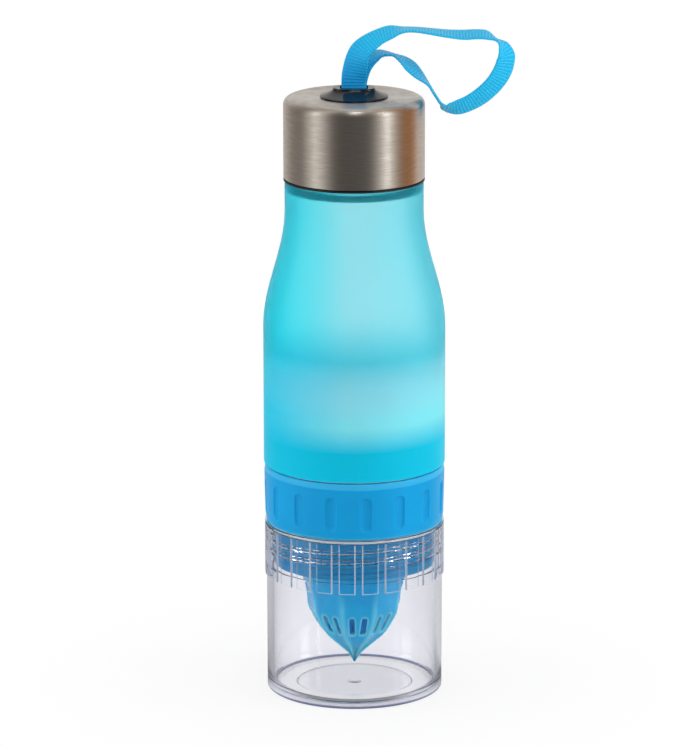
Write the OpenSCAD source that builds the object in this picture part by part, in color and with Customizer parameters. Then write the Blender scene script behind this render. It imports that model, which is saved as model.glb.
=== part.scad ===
// Juicer water bottle: a clear cup, a threaded collar that carries a citrus reamer,
// a frosted bottle, and a steel cap with a woven carrying strap.
// Z is up and the cup's foot stands at zero. The axis of the bottle is the Z axis.

/* [Bottle] */
// Diameter of the bottle's barrel
body_d = 73.2; // [66:0.1:90]
// Height of the barrel's straight wall
barrel_h = 55.6; // [40:0.2:120]
// Height of the curved shoulder
shoulder_h = 48.6; // [30:0.2:70]
// Diameter of the neck under the cap
neck_d = 55.6; // [50:0.1:60]
// Height of the straight neck under the cap
neck_h = 11.5; // [6:0.1:20]
// Wall of the bottle above its thread
bottle_wall = 2; // [1.4:0.1:2.6]
// Wall of the bottle outside its bottom thread
bottle_thread_wall = 2.4; // [1.8:0.1:3]
// Height of the threaded mouth that the cap screws on
mouth_h = 26.7; // [24:0.1:34]
// Wall of the threaded mouth
mouth_wall = 2.85; // [2:0.05:4]

/* [Cup] */
// Height of the cup
cup_h = 70.3; // [60:0.1:100]
// Step from the barrel's radius in to the grip pads
cup_inset = 0.3; // [0.2:0.1:2]
// Thickness of the cup's wall below its thread
cup_wall = 2.8; // [2:0.1:3.4]
// Thickness of the cup's wall outside its thread
cup_thread_wall = 1.8; // [1.4:0.1:2]
// Thickness of the cup's floor
cup_floor = 2; // [1.4:0.1:4]
// Taper of the outer wall from the grip pads down to the foot, on the radius
cup_draft = 0.1; // [0:0.1:1]
// Rounding of the foot's edge
foot_round = 1.2; // [0.4:0.1:2]
// Diameter of the shallow hollow under the foot
foot_hollow_d = 46.4; // [30:0.2:58]
// Depth of the hollow under the foot
foot_hollow_depth = 0.5; // [0.2:0.1:0.8]
// Diameter of the moulding mark in the middle of the hollow
gate_d = 4.6; // [2:0.2:8]

/* [Grip pads] */
// Number of raised pads round the cup
pad_count = 24; // [12:1:36]
// Height of the band of pads, with the plain rim above them
pad_band_h = 22; // [14:0.1:30]
// Height of the plain rim above the pads
pad_rim_h = 1.6; // [0.8:0.1:4]
// Width of the groove between two pads
pad_groove_w = 3.1; // [1:0.1:4]
// Depth of the groove between two pads
pad_depth = 0.7; // [0.3:0.1:0.8]

/* [Collar] */
// Height of the collar's grip band
band_h = 23.4; // [18:0.2:40]
// Step from the barrel's radius in to the top of the grip band
band_inset = 0.2; // [0:0.1:1.5]
// How much smaller the band's radius is near its bottom
band_taper = 0.35; // [0:0.05:1]
// Wall of the grip band behind its flutes
band_wall = 2.8; // [2.2:0.1:3.4]
// Thickness of the two webs between the band and the threaded skirts
web_t = 2.2; // [1.4:0.1:3]
// Length of the skirt that screws into the cup
low_skirt_h = 17.5; // [14:0.1:20]
// Length of the skirt that screws into the bottle
high_skirt_h = 15.6; // [12:0.1:20]
// Wall of both skirts, under their threads
skirt_wall = 2.2; // [1.6:0.1:2.6]
// Number of finger flutes
flute_count = 16; // [8:1:20]
// Width of a flute
flute_w = 4.75; // [3:0.05:7]
// Length of a flute, end to end
flute_h = 13.9; // [8:0.1:16]
// Depth of a flute
flute_depth = 0.9; // [0.4:0.1:1.4]

/* [Threads] */
// Lift of a screwed piece in one turn: twice the pitch, as there are two starts
thread_lead = 8; // [6:0.5:10]
// Height of a thread's ridge, out from its wall
thread_depth = 1.2; // [0.8:0.1:1.4]
// Gap between a ridge's crest and the wall that it faces
thread_gap = 0.35; // [0.3:0.05:0.5]
// Width of a ridge where it meets its wall
ridge_base = 2; // [1.4:0.1:2.2]
// Width of a ridge at its crest
ridge_crest = 1; // [0.6:0.1:1.2]

/* [Reamer] */
// Height of the reamer, from its point to the top of its flange
reamer_h = 46.8; // [36:0.2:48]
// Radius of the reamer at its fullest
reamer_r = 19.7; // [14:0.1:21]
// Wall of the reamer
reamer_wall = 1.8; // [1.2:0.1:2.4]
// Thickness of the reamer's flange
flange_t = 2.2; // [1.4:0.1:3]
// Number of ribs that press the fruit
rib_count = 9; // [5:1:12]
// How far a rib stands out from the panels between the ribs
rib_h = 1.3; // [0.6:0.1:2]
// Width of a drain slot
slot_w = 2.3; // [0.8:0.1:2.6]
// Length of a drain slot, end to end
slot_h = 8.8; // [4:0.1:10]
// Diameter of the small drain hole near the point
drain_d = 1.6; // [1:0.1:2.4]

/* [Cap] */
// Height of the cap from its plastic lip to its steel top
cap_h = 33.4; // [33:0.1:40]
// Step from the neck's radius out to the steel shell
cap_step = 0.45; // [0:0.05:1.5]
// Thickness of the steel
steel_t = 0.6; // [0.4:0.1:0.9]
// Rounding of the shell's top edge
cap_round = 3; // [1:0.1:5]
// Height of the plastic lip under the steel
lip_h = 0.65; // [0.4:0.05:1.5]
// Thickness of the plastic plate inside the cap
plate_t = 2.2; // [1.6:0.1:2.6]

/* [Seals] */
// Thickness of the flat seal rings
seal_t = 1.3; // [1:0.1:2]
// Thickness of the cap's seal ring
cap_seal_t = 2.2; // [1.4:0.1:2.6]
// Width of the rebate that a seal ring presses in
rebate_w = 1.5; // [1:0.1:1.8]
// Gap on each side of a seal ring
seal_gap = 0.25; // [0.2:0.05:0.4]
// Open seam between two screwed pieces
seam = 0.3; // [0.2:0.05:0.6]

/* [Strap boss] */
// Diameter of the boss's round foot
boss_d = 27.2; // [24:0.2:34]
// Height of the boss above the steel
boss_h = 3.9; // [2.6:0.1:6]
// Length of the boss's oval top
boss_top_l = 17; // [15:0.1:20]
// Width of the boss's oval top
boss_top_w = 11; // [10.6:0.1:14]
// Height of the upright edge of the boss's foot
boss_edge_h = 0.6; // [0.3:0.1:1]
// Radius of the stem under the boss
stem_r = 8.5; // [8:0.1:10]
// Width of the strap's slot, across the strap
strap_slot_w = 8; // [7.6:0.1:8.6]
// Diameter of the cross pin
pin_d = 2; // [1.6:0.1:2.4]
// Length of the cross pin
pin_l = 14.4; // [13:0.1:15]

/* [Strap] */
// Width of the woven strap
strap_w = 10; // [8:0.1:10.2]
// Thickness of the woven strap
strap_t = 1.2; // [0.8:0.1:1.4]

/* [Hidden] */
$fn = 96;

// Overrun of every cut past the face that it opens
over = 1;
full_turn = 360;

// Heights of the stack, from the foot up
band_z = cup_h + seam;
band_top_z = band_z + band_h;
low_skirt_z = band_z - low_skirt_h;
high_skirt_top_z = band_top_z + high_skirt_h;
bottle_z = band_top_z + seam + seam;
barrel_top_z = bottle_z + barrel_h;
neck_z = barrel_top_z + shoulder_h;
neck_top_z = neck_z + neck_h;
mouth_top_z = neck_top_z + mouth_h;
lip_z = neck_top_z + seam;
cap_top_z = lip_z + cap_h;
plate_z = mouth_top_z + seal_gap + cap_seal_t + seal_gap;
steel_inner_z = cap_top_z - steel_t;

// Radii of the bottle and of the parts that screw to it
body_r = body_d / 2;
neck_r = neck_d / 2;
bottle_bore_r = body_r - bottle_thread_wall;
barrel_bore_r = body_r - bottle_wall;
high_crest_r = bottle_bore_r - thread_gap;
high_root_r = high_crest_r - thread_depth;
high_bore_r = high_root_r - skirt_wall;
pad_r = body_r - cup_inset;
cup_r = pad_r - pad_depth;
foot_r = cup_r - cup_draft;
cup_bore_r = cup_r - cup_thread_wall;
cup_inner_r = cup_r - cup_wall;
low_crest_r = cup_bore_r - thread_gap;
low_root_r = low_crest_r - thread_depth;
low_bore_r = low_root_r - skirt_wall;
band_r = body_r - band_inset;
band_low_r = band_r - band_taper;
cap_r = neck_r + cap_step;
liner_slack = 0.05;
liner_r = cap_r - steel_t - liner_slack;
liner_wall = 3.15;
liner_bore_r = liner_r - liner_wall;
mouth_crest_r = liner_bore_r - thread_gap;
mouth_root_r = mouth_crest_r - thread_depth;
mouth_bore_r = mouth_root_r - mouth_wall;

// Depth of the cup's threaded zone, from its rim down, and of the bottle's, from its edge up
cup_thread_zone = low_skirt_h + seam + seam;
bottle_thread_zone = high_skirt_h + seam;
// How far the first ridge of a thread lies from the free end of its wall
ridge_start = 1.1;
// Turns that each ridge makes
male_turns = 1.3;
female_turns = 1.1;
// How far the foot of a ridge is sunk in its wall
ridge_sink = 0.4;
// Segments of a ridge in one turn, and those over which its ends run out
ridge_steps = 36;
runout_steps = 3;
runout_share = 0.2;
// Places of the threads' starts, round from +X: of those above, and of the cup's and collar's
thread_phase = 90;
low_thread_phase = 228;

// Rebates that hold the seal rings in the cup's rim and the bottle's edge
rebate_depth = seal_t + seal_gap + seal_gap - seam;
low_rebate_r = cup_bore_r + rebate_w;
high_rebate_r = bottle_bore_r + rebate_w;

// The collar's small features
band_edge = 0.4;
band_foot_h = 3;
band_rim_h = 2.6;
band_rim_step = 0.2;
ledge_w = 2.4;
ledge_t = 2.2;
bead_w = 0.35;
bead_h = 0.6;
flute_phase = 7.25;
pad_phase = 2.65;

// The reamer hangs from its flange, which seats under the collar's ledge
flange_top_z = low_skirt_z + flange_t + bead_h + bead_h;
reamer_tip_z = flange_top_z - reamer_h;
flange_r = low_bore_r - liner_slack;
// Outline of the ribs' crests: shares of the fullest radius and of the height
reamer_shares = [[0.02, 0], [0.15, 0.083], [0.395, 0.18], [0.67, 0.29], [0.845, 0.403], [0.965, 0.512],
                 [0.997, 0.63], [1.05, 0.725], [1.14, 0.815], [1.3, 0.92], [1.45, 0.975]];
outline_steps = 2;
rib_steps = 6;
rib_power = 6;
rib_depth_share = 0.3;
slot_spread = 8.5;
slot_z_share = 0.405;
drain_z_share = 0.21;
rib_phase = 5 + full_turn / (2 * rib_count);

// The boss's stem sits in a pocket of the liner, and the pin crosses the stem
stem_slack = 0.05;
pocket_wall = 1.8;
pocket_floor_t = 1.2;
pin_slack = 0.02;
strap_gap = 0.4;
wrap_r = pin_d / 2 + strap_gap + strap_t / 2;
pin_cover = 0.6;
pin_z = cap_top_z - pin_d / 2 - pin_cover;
stem_z = pin_z - wrap_r - strap_t / 2 - strap_gap;
slot_clear = 0.5;
slot_l = strap_w + slot_clear + slot_clear;
boss_steps = 36;
boss_levels = 6;
flare_power = 2.2;
oval_power = 2.8;
round_power = 2;
boss_top_z = cap_top_z + boss_h;
liner_rim_wall = 1.8;

// Route of the strap outside its pin, from the pin's centre, up in front and back down behind
strap_route = [
    [0, -2, 4.4], [0, -2, 9], [0.5, -2, 13.5], [1.3, -2, 17.6], [2.7, -1.5, 20.4], [5.6, -1, 23.2],
    [9.8, 0, 25.7], [14.6, 0, 27.6], [19.4, 0, 28.5], [24.1, 0, 28.6], [30.1, 0, 27.9],
    [36.7, 0, 27], [43.2, 0, 26.5], [48.3, 0, 26.7], [52.6, 0, 26.4], [56.7, 0, 24.3],
    [59.1, 0, 21.6], [60.2, 0, 18.7], [60.2, 0, 16.1], [58.8, 0, 11.6], [55.5, 0, 6.5],
    [50.7, 0, 2], [45.9, 0, -1], [41, 0, -2.8], [36.9, 0, -2.8], [34.5, 0, -1.2], [31.9, 2, 2.4],
    [29.5, 3, 6], [25.2, 4, 10.3], [22, 5, 13.4], [18.8, 5.5, 15.9], [15.9, 6, 17.3],
    [12.6, 6, 17.9], [9.2, 6, 17.4], [5.5, 5, 15.8], [2.6, 3.8, 12.9], [0.5, 2.3, 8.6], [0, 2, 4.2]];
// Direction of the strap's width at each point of its route
strap_lay_shares = [
    [-1, 0, 0], [-1, 0, 0], [-0.95, 0.3, 0], [-0.8, 0.5, 0.2], [-0.7, 0.6, 0.35],
    [-0.45, 0.75, 0.45], [-0.25, 0.87, 0.42], [-0.1, 0.93, 0.36], [0, 1, 0.05], [0, 1, 0],
    [0, 1, 0.05], [0, 1, 0.12], [0, 0.98, 0.2], [0, 0.98, 0.2], [0.1, 0.98, 0.15],
    [0, 0.99, -0.1], [0.4, 0.9, 0.1], [0.66, 0.75, 0], [0.75, 0.66, 0], [0.7, 0.6, -0.35],
    [0.6, 0.6, -0.5], [0.48, 0.62, -0.62], [0.33, 0.66, -0.67], [0.1, 0.72, -0.7], [-0.2, 0.87, -0.45],
    [-0.1, 0.98, -0.1], [0, 0.99, -0.13], [0.03, 0.99, -0.1], [0.2, 0.95, 0.2], [0.22, 0.93, 0.25],
    [0.12, 0.98, 0.05], [0, 0.99, -0.1], [0, 1, 0], [-0.2, 0.95, 0.2], [-0.5, 0.8, 0.35],
    [-0.8, 0.55, 0.25], [-0.985, 0.12, 0], [-1, 0, 0]];
wrap_steps = 6;
strap_steps = 2;
strap_edge = 0.25;

// Catmull-Rom curve through four points, at the share t of its middle stretch
function spline(a, b, c, d, t) =
    b + (c - a) * (t / 2) + (2 * a - 5 * b + 4 * c - d) * (t * t / 2)
    + (3 * b - a - 3 * c + d) * (t * t * t / 2);
// The same curve carried through a whole list
function smooth(list, steps) = let (last = len(list) - 1) [
    for (i = [0 : last - 1]) for (k = [0 : steps - 1])
        spline(list[max(i - 1, 0)], list[i], list[i + 1], list[min(i + 2, last)], k / steps),
    list[last]];
function unit(v) = v / norm(v);
// Quarter or part of a circle as outline points
function arc(centre, radius, from, to, steps = 8) =
    [for (i = [0 : steps]) let (a = from + (to - from) * i / steps)
        centre + radius * [cos(a), sin(a)]];

// Faces of a skin over rings of points, each ring turning by the right hand about the way it travels
function skin_faces(rings, sides, closed) = concat(
    [for (i = [0 : rings - (closed ? 1 : 2)]) for (j = [0 : sides - 1])
        let (a = i * sides + j, b = i * sides + (j + 1) % sides,
             c = ((i + 1) % rings) * sides + (j + 1) % sides, d = ((i + 1) % rings) * sides + j)
        each [[a, d, c], [a, c, b]]],
    closed ? [] : [[for (j = [0 : sides - 1]) j],
                   [for (j = [sides - 1 : -1 : 0]) (rings - 1) * sides + j]]);

// Two ridges of a right-hand thread, each a trapezoid carried up a helix.
// The ridge points outwards where the crest's radius is the larger, and inwards where it is the smaller.
module thread(root_r, crest_r, from_z, turns, phase) {
    way = crest_r > root_r ? 1 : -1;
    sunk_r = root_r - way * ridge_sink;
    count = ceil(turns * ridge_steps);
    for (start = [0, full_turn / 2])
        polyhedron(
            points = [for (i = [0 : count])
                let (a = phase + start + full_turn * turns * i / count,
                     z = from_z + thread_lead * turns * i / count,
                     grown = max(runout_share, min(1, min(i, count - i) / runout_steps)),
                     tip_r = sunk_r + (crest_r - sunk_r) * grown,
                     section = [[sunk_r, way * ridge_base / 2], [tip_r, way * ridge_crest / 2],
                                [tip_r, -way * ridge_crest / 2], [sunk_r, -way * ridge_base / 2]])
                for (p = section) [p.x * cos(a), p.x * sin(a), z + p.y]],
            faces = skin_faces(count + 1, 4, false));
}

module ring(outer_r, inner_r, from_z, height) {
    translate([0, 0, from_z])
        rotate_extrude()
            translate([inner_r, 0])
                square([outer_r - inner_r, height]);
}

// Clear cup: a turned wall with a thread inside, grip pads outside and a hollow foot
module juice_cup() {
    pad_z = cup_h - pad_band_h;
    color("gainsboro", 0.4)
    difference() {
        union() {
            rotate_extrude()
                polygon(concat(
                    [[0, 0]],
                    arc([foot_r - foot_round, foot_round], foot_round, -90, 0),
                    [[cup_r, pad_z], [pad_r, pad_z], [pad_r, cup_h], [low_rebate_r, cup_h],
                     [low_rebate_r, cup_h - rebate_depth], [cup_bore_r, cup_h - rebate_depth],
                     [cup_bore_r, cup_h - cup_thread_zone], [cup_inner_r, cup_h - cup_thread_zone],
                     [cup_inner_r, cup_floor + foot_round]],
                    arc([cup_inner_r - foot_round, cup_floor + foot_round], foot_round, 0, -90),
                    [[0, cup_floor]]));
            thread(cup_bore_r, cup_bore_r - thread_depth, low_skirt_z + ridge_start + thread_lead / 2,
                   female_turns, low_thread_phase + full_turn / 4);
        }
        for (i = [0 : pad_count - 1])
            rotate([0, 0, pad_phase + i * full_turn / pad_count])
                translate([cup_r, -pad_groove_w / 2, pad_z - over])
                    cube([pad_depth + over, pad_groove_w, pad_band_h - pad_rim_h + over]);
        translate([0, 0, -over])
            cylinder(h = over + foot_hollow_depth, d = foot_hollow_d);
    }
    color("gainsboro", 0.4)
        ring(gate_d / 2, 0, foot_hollow_depth / 2, foot_hollow_depth);
}

module seal_ring(outer_r, inner_r, from_z, thickness) {
    color("whitesmoke")
        ring(outer_r, inner_r, from_z, thickness);
}

module lower_gasket() {
    seal_ring(low_rebate_r - seal_gap, low_root_r + seal_gap, band_z - seal_gap - seal_t, seal_t);
}

module upper_gasket() {
    seal_ring(high_rebate_r - seal_gap, high_crest_r + seam, band_top_z + seal_gap, seal_t);
}

module cap_gasket() {
    seal_ring(liner_bore_r - seal_gap, mouth_bore_r, mouth_top_z + seal_gap, cap_seal_t);
}

// Pill-shaped hollow that a finger finds: a round bar with round ends, sunk in the band
module flute() {
    bar_r = (flute_w * flute_w / 4 + flute_depth * flute_depth) / (2 * flute_depth);
    reach = flute_h / 2 - flute_w / 2;
    translate([band_r - flute_depth + bar_r, 0, band_z + band_h / 2 - band_edge - band_foot_h / 4]) {
        translate([0, 0, -reach])
            cylinder(h = 2 * reach, r = bar_r);
        for (side = [-1, 1])
            translate([0, 0, side * reach])
                sphere(r = bar_r);
    }
}

// Threaded collar: a grip band with a skirt below for the cup and one above for the bottle
module grip_collar() {
    relief_r = band_low_r - band_wall;
    color("deepskyblue") {
        difference() {
            rotate_extrude()
                polygon([
                    [low_bore_r, low_skirt_z], [low_root_r, low_skirt_z], [low_root_r, band_z],
                    [band_low_r - band_edge, band_z], [band_low_r, band_z + band_foot_h],
                    [band_r, band_top_z - 2 * band_rim_h], [band_r, band_top_z - band_rim_h],
                    [band_r - band_rim_step, band_top_z - band_rim_h],
                    [band_r - band_rim_step, band_top_z - band_edge],
                    [band_r - band_edge - band_rim_step, band_top_z],
                    [high_root_r, band_top_z], [high_root_r, high_skirt_top_z],
                    [high_bore_r, high_skirt_top_z], [high_bore_r, band_top_z - web_t],
                    [relief_r, band_top_z - web_t - web_t], [relief_r, band_z + web_t + web_t],
                    [low_bore_r, band_z + web_t]]);
            for (i = [0 : flute_count - 1])
                rotate([0, 0, flute_phase - full_turn / 4 + i * full_turn / flute_count])
                    flute();
        }
        thread(low_root_r, low_crest_r, low_skirt_z + ridge_start, male_turns, low_thread_phase);
        thread(high_root_r, high_crest_r, high_skirt_top_z - ridge_start - thread_lead * male_turns,
               male_turns, thread_phase);
        ring(low_bore_r + ridge_sink, low_bore_r - ledge_w, flange_top_z, ledge_t);
        ring(low_bore_r + ridge_sink, low_bore_r - bead_w, flange_top_z - flange_t - bead_h, bead_h);
    }
}

// Crests' radius and level of the reamer, from its point up to its flange
function reamer_outline() = [for (p = smooth(reamer_shares, outline_steps))
    [p.x * reamer_r, reamer_tip_z + p.y * reamer_h]];

// Points of the reamer at one level: sharp ribs with hollow panels between them
function reamer_ring(crest_r, z) = [for (j = [0 : rib_count * rib_steps - 1])
    let (a = full_turn * j / (rib_count * rib_steps),
         ridge = pow(abs(cos(full_turn / 2 * j / rib_steps)), rib_power),
         r = crest_r - min(rib_h, crest_r * rib_depth_share) * (1 - ridge))
    [r * cos(a), r * sin(a), z]];

// Citrus press: a hollow pointed dome with ribs, drain slots and a flange
module reamer() {
    outline = reamer_outline();
    hollow = [for (p = outline) if (p.x > rib_h + reamer_wall + drain_d)
        [p.x - rib_h - reamer_wall, p.y + reamer_wall]];
    neck = hollow[len(hollow) - 1];
    color("dodgerblue")
    difference() {
        union() {
            rotate([0, 0, rib_phase - full_turn / 4])
                polyhedron(points = [for (p = outline) each reamer_ring(p.x, p.y)],
                           faces = skin_faces(len(outline), rib_count * rib_steps, false));
            translate([0, 0, flange_top_z - flange_t])
                cylinder(h = flange_t, r = flange_r);
        }
        rotate_extrude()
            polygon(concat([[0, hollow[0].y]], hollow,
                           [[neck.x, flange_top_z + over], [0, flange_top_z + over]]));
        for (i = [0 : rib_count - 1])
            rotate([0, 0, rib_phase - full_turn / 4 + (i + 1 / 2) * full_turn / rib_count]) {
                for (side = [-1, 1])
                    rotate([0, 0, side * slot_spread])
                        translate([reamer_r / 4, 0, reamer_tip_z + slot_z_share * reamer_h])
                            drain_slot();
                translate([hollow[0].x, 0, reamer_tip_z + drain_z_share * reamer_h])
                    rotate([0, 90, 0])
                        cylinder(h = reamer_r, d = drain_d);
            }
    }
}

// One slot, cut straight out through the wall
module drain_slot() {
    rotate([90, 0, 90])
        linear_extrude(reamer_r) {
            translate([-slot_w / 2, -slot_h / 2 + slot_w / 2])
                square([slot_w, slot_h - slot_w]);
            for (end = [-1, 1])
                translate([0, end * (slot_h - slot_w) / 2])
                    circle(d = slot_w);
        }
}

// Radius of the shoulder's outside at a share of its height: a half wave from barrel to neck
function shoulder_r(share) = neck_r + (body_r - neck_r) * (1 + cos(180 * share)) / 2;

// Frosted bottle: open and threaded at its bottom, with a threaded mouth on its neck
module bottle_body() {
    shares = [for (i = [0 : 12]) i / 12];
    mouth_floor_z = neck_top_z - bottle_wall;
    edge = band_edge;
    color("turquoise", 0.7) {
        rotate_extrude()
            polygon(concat(
                [[high_rebate_r, bottle_z], [body_r - edge, bottle_z], [body_r, bottle_z + edge]],
                [for (s = shares) [shoulder_r(s), barrel_top_z + s * shoulder_h]],
                [[neck_r, neck_top_z], [mouth_root_r, neck_top_z], [mouth_root_r, mouth_top_z],
                 [mouth_bore_r, mouth_top_z], [mouth_bore_r, mouth_floor_z],
                 [neck_r - bottle_wall, mouth_floor_z - bottle_wall]],
                [for (i = [len(shares) - 1 : -1 : 0])
                    [shoulder_r(shares[i]) - bottle_wall, barrel_top_z + shares[i] * shoulder_h]],
                [[barrel_bore_r, bottle_z + bottle_thread_zone + bottle_wall],
                 [bottle_bore_r, bottle_z + bottle_thread_zone],
                 [bottle_bore_r, bottle_z + rebate_depth],
                 [high_rebate_r, bottle_z + rebate_depth]]));
        thread(bottle_bore_r, bottle_bore_r - thread_depth,
               high_skirt_top_z - ridge_start - thread_lead * male_turns + thread_lead / 4,
               female_turns, thread_phase);
        thread(mouth_root_r, mouth_crest_r, mouth_top_z - ridge_start - thread_lead * male_turns,
               male_turns, thread_phase);
    }
}

// Black lining of the cap: threaded inside, with a lip under the steel and a pocket for the boss
module cap_liner() {
    pocket_r = stem_r + stem_slack;
    top_z = steel_inner_z - liner_slack;
    color([0.05, 0.05, 0.06]) {
        rotate_extrude()
            polygon([
                [liner_bore_r, lip_z], [cap_r, lip_z], [cap_r, lip_z + lip_h], [liner_r, lip_z + lip_h],
                [liner_r, top_z - cap_round], [liner_r - cap_round, top_z],
                [liner_r - cap_round - liner_rim_wall, top_z],
                [liner_r - cap_round - liner_rim_wall, plate_z + plate_t],
                [pocket_r + pocket_wall, plate_z + plate_t], [pocket_r + pocket_wall, top_z],
                [pocket_r, top_z], [pocket_r, stem_z - stem_slack], [0, stem_z - stem_slack],
                [0, stem_z - stem_slack - pocket_floor_t],
                [pocket_r + pocket_wall, stem_z - stem_slack - pocket_floor_t],
                [pocket_r + pocket_wall, plate_z], [liner_bore_r, plate_z]]);
        thread(liner_bore_r, liner_bore_r - thread_depth,
               mouth_top_z - ridge_start - thread_lead * male_turns + thread_lead / 4,
               female_turns, thread_phase);
    }
}

// Drawn steel shell with a rounded top edge and a hole for the boss's stem
module cap_shell() {
    hole_r = stem_r + stem_slack;
    bottom_z = lip_z + lip_h + liner_slack;
    inner_round = cap_round - steel_t;
    color("silver")
    rotate_extrude()
        polygon(concat(
            [[cap_r - steel_t, bottom_z]],
            [[cap_r, bottom_z]],
            arc([cap_r - cap_round, cap_top_z - cap_round], cap_round, 0, 90),
            [[hole_r, cap_top_z], [hole_r, steel_inner_z]],
            arc([cap_r - cap_round, cap_top_z - cap_round], inner_round, 90, 0)));
}

// Points of the boss at one level: a round that turns into an oval towards the top
function boss_ring(share, z) = let (
    part = pow(1 - share, flare_power),
    half_l = boss_top_l / 2 + (boss_d - boss_top_l) / 2 * part,
    half_w = boss_top_w / 2 + (boss_d - boss_top_w) / 2 * part,
    power = oval_power + (round_power - oval_power) * part)
    [for (i = [0 : boss_steps - 1]) let (a = full_turn * i / boss_steps, c = cos(a), s = sin(a))
        [half_l * sign(c) * pow(abs(c), 2 / power), half_w * sign(s) * pow(abs(s), 2 / power), z]];

// Glossy boss with flared sides, a stem into the cap and a slot for the strap
module strap_boss() {
    levels = concat([[0, cap_top_z]],
        [for (i = [0 : boss_levels]) [i / boss_levels,
            cap_top_z + boss_edge_h + (boss_h - boss_edge_h) * i / boss_levels]]);
    color([0.03, 0.03, 0.04])
    difference() {
        union() {
            polyhedron(points = [for (l = levels) each boss_ring(l[0], l[1])],
                       faces = skin_faces(len(levels), boss_steps, false));
            translate([0, 0, stem_z])
                cylinder(h = cap_top_z - stem_z + boss_edge_h / 2, r = stem_r);
        }
        translate([-slot_l / 2, -strap_slot_w / 2, stem_z - over])
            cube([slot_l, strap_slot_w, boss_top_z - stem_z + 2 * over]);
        translate([-stem_r - over, 0, pin_z])
            rotate([0, 90, 0])
                cylinder(h = 2 * stem_r + 2 * over, d = pin_d + 2 * pin_slack);
    }
}

module strap_pin() {
    color("silver")
        translate([-pin_l / 2, 0, pin_z])
            rotate([0, 90, 0])
                cylinder(h = pin_l, d = pin_d);
}

// Woven strap: a flat band in one closed loop, round the pin and out through the slot
module strap() {
    wrap = [for (i = [0 : wrap_steps]) let (a = 180 * i / wrap_steps)
        wrap_r * [0, cos(a), -sin(a)]];
    centres = concat(wrap, smooth(strap_route, strap_steps));
    lays = concat([for (p = wrap) [-1, 0, 0]], smooth(strap_lay_shares, strap_steps));
    count = len(centres);
    half_w = strap_w / 2;
    half_t = strap_t / 2;
    section = [[half_w, -half_t + strap_edge], [half_w, half_t - strap_edge],
               [half_w - strap_edge, half_t], [strap_edge - half_w, half_t],
               [-half_w, half_t - strap_edge], [-half_w, strap_edge - half_t],
               [strap_edge - half_w, -half_t], [half_w - strap_edge, -half_t]];
    color("deepskyblue")
        translate([0, 0, pin_z])
            polyhedron(
                points = [for (i = [0 : count - 1])
                    let (way = unit(centres[(i + 1) % count] - centres[(i + count - 1) % count]),
                         across = unit(lays[i] - (lays[i] * way) * way),
                         normal = cross(way, across))
                    for (p = section) centres[i] + p.x * across + p.y * normal],
                faces = skin_faces(count, len(section), true));
}

juice_cup();
lower_gasket();
grip_collar();
reamer();
upper_gasket();
bottle_body();
cap_gasket();
cap_liner();
cap_shell();
strap_boss();
strap_pin();
strap();
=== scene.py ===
"""Juicer water bottle: what is seen of it, made round the packed CAD model.

All sizes are in metres. The bottle's axis is Z, its cup stands on z = 0 and -Y looks at the camera.
"""

import math

import bmesh
import bpy
import numpy as np
from bpy.props import FloatProperty, FloatVectorProperty, IntProperty, PointerProperty
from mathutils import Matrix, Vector


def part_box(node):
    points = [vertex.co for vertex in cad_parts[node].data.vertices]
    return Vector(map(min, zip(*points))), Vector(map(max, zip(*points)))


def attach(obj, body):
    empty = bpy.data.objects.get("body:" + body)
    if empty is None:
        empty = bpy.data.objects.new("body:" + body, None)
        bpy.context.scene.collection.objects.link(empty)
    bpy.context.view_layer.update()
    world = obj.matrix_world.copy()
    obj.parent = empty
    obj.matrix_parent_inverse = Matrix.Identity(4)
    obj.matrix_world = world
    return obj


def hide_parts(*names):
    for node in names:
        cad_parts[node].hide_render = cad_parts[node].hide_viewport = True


bl_info = {
    "name": "Juicer Water Bottle",
    "version": (1, 0, 0),
    "blender": (4, 5, 0),
    "location": "View3D > Sidebar > Bottle",
    "description": "Builds a juicer water bottle's visible pieces, finishes and studio",
    "category": "Add Mesh",
}

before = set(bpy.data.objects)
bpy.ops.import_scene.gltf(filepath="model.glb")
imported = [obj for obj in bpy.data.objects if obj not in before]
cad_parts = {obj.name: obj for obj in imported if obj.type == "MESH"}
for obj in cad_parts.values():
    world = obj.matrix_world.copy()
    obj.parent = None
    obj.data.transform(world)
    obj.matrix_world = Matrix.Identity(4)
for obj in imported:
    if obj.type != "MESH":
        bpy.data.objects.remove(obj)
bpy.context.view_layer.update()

TURN = 2 * math.pi
FRONT = -math.pi / 2
# The camera that the photograph was taken with: its place, its tilt below level, its roll and its lens
CAMERA_PLACE = (-0.00394, -1.99615, 0.6319)
CAMERA_TILT = math.radians(14.093)
CAMERA_ROLL = math.radians(0.08)
CAMERA_LENS = 246.5

# Heights and radii that the CAD nodes give
CUP_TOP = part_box("juice_cup")[1].z
PAD_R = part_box("juice_cup")[1].x
SKIRT_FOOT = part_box("grip_collar")[0].z
SKIRT_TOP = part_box("grip_collar")[1].z
BAND_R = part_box("grip_collar")[1].x
PRESS_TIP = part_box("reamer")[0].z
PRESS_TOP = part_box("reamer")[1].z
FLANGE_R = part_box("reamer")[1].x
BODY_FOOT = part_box("bottle_body")[0].z
MOUTH_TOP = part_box("bottle_body")[1].z
BODY_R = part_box("bottle_body")[1].x
SHELL_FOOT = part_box("cap_shell")[0].z
CAP_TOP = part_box("cap_shell")[1].z
CAP_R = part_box("cap_shell")[1].x
STEM_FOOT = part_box("strap_boss")[0].z
BOSS_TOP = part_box("strap_boss")[1].z
BOSS_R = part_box("strap_boss")[1].x
PIN_Z = (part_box("strap_pin")[0].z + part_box("strap_pin")[1].z) / 2
SEAM = 0.0003
BAND_FOOT = CUP_TOP + SEAM
BAND_TOP = BODY_FOOT - 2 * SEAM
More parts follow.
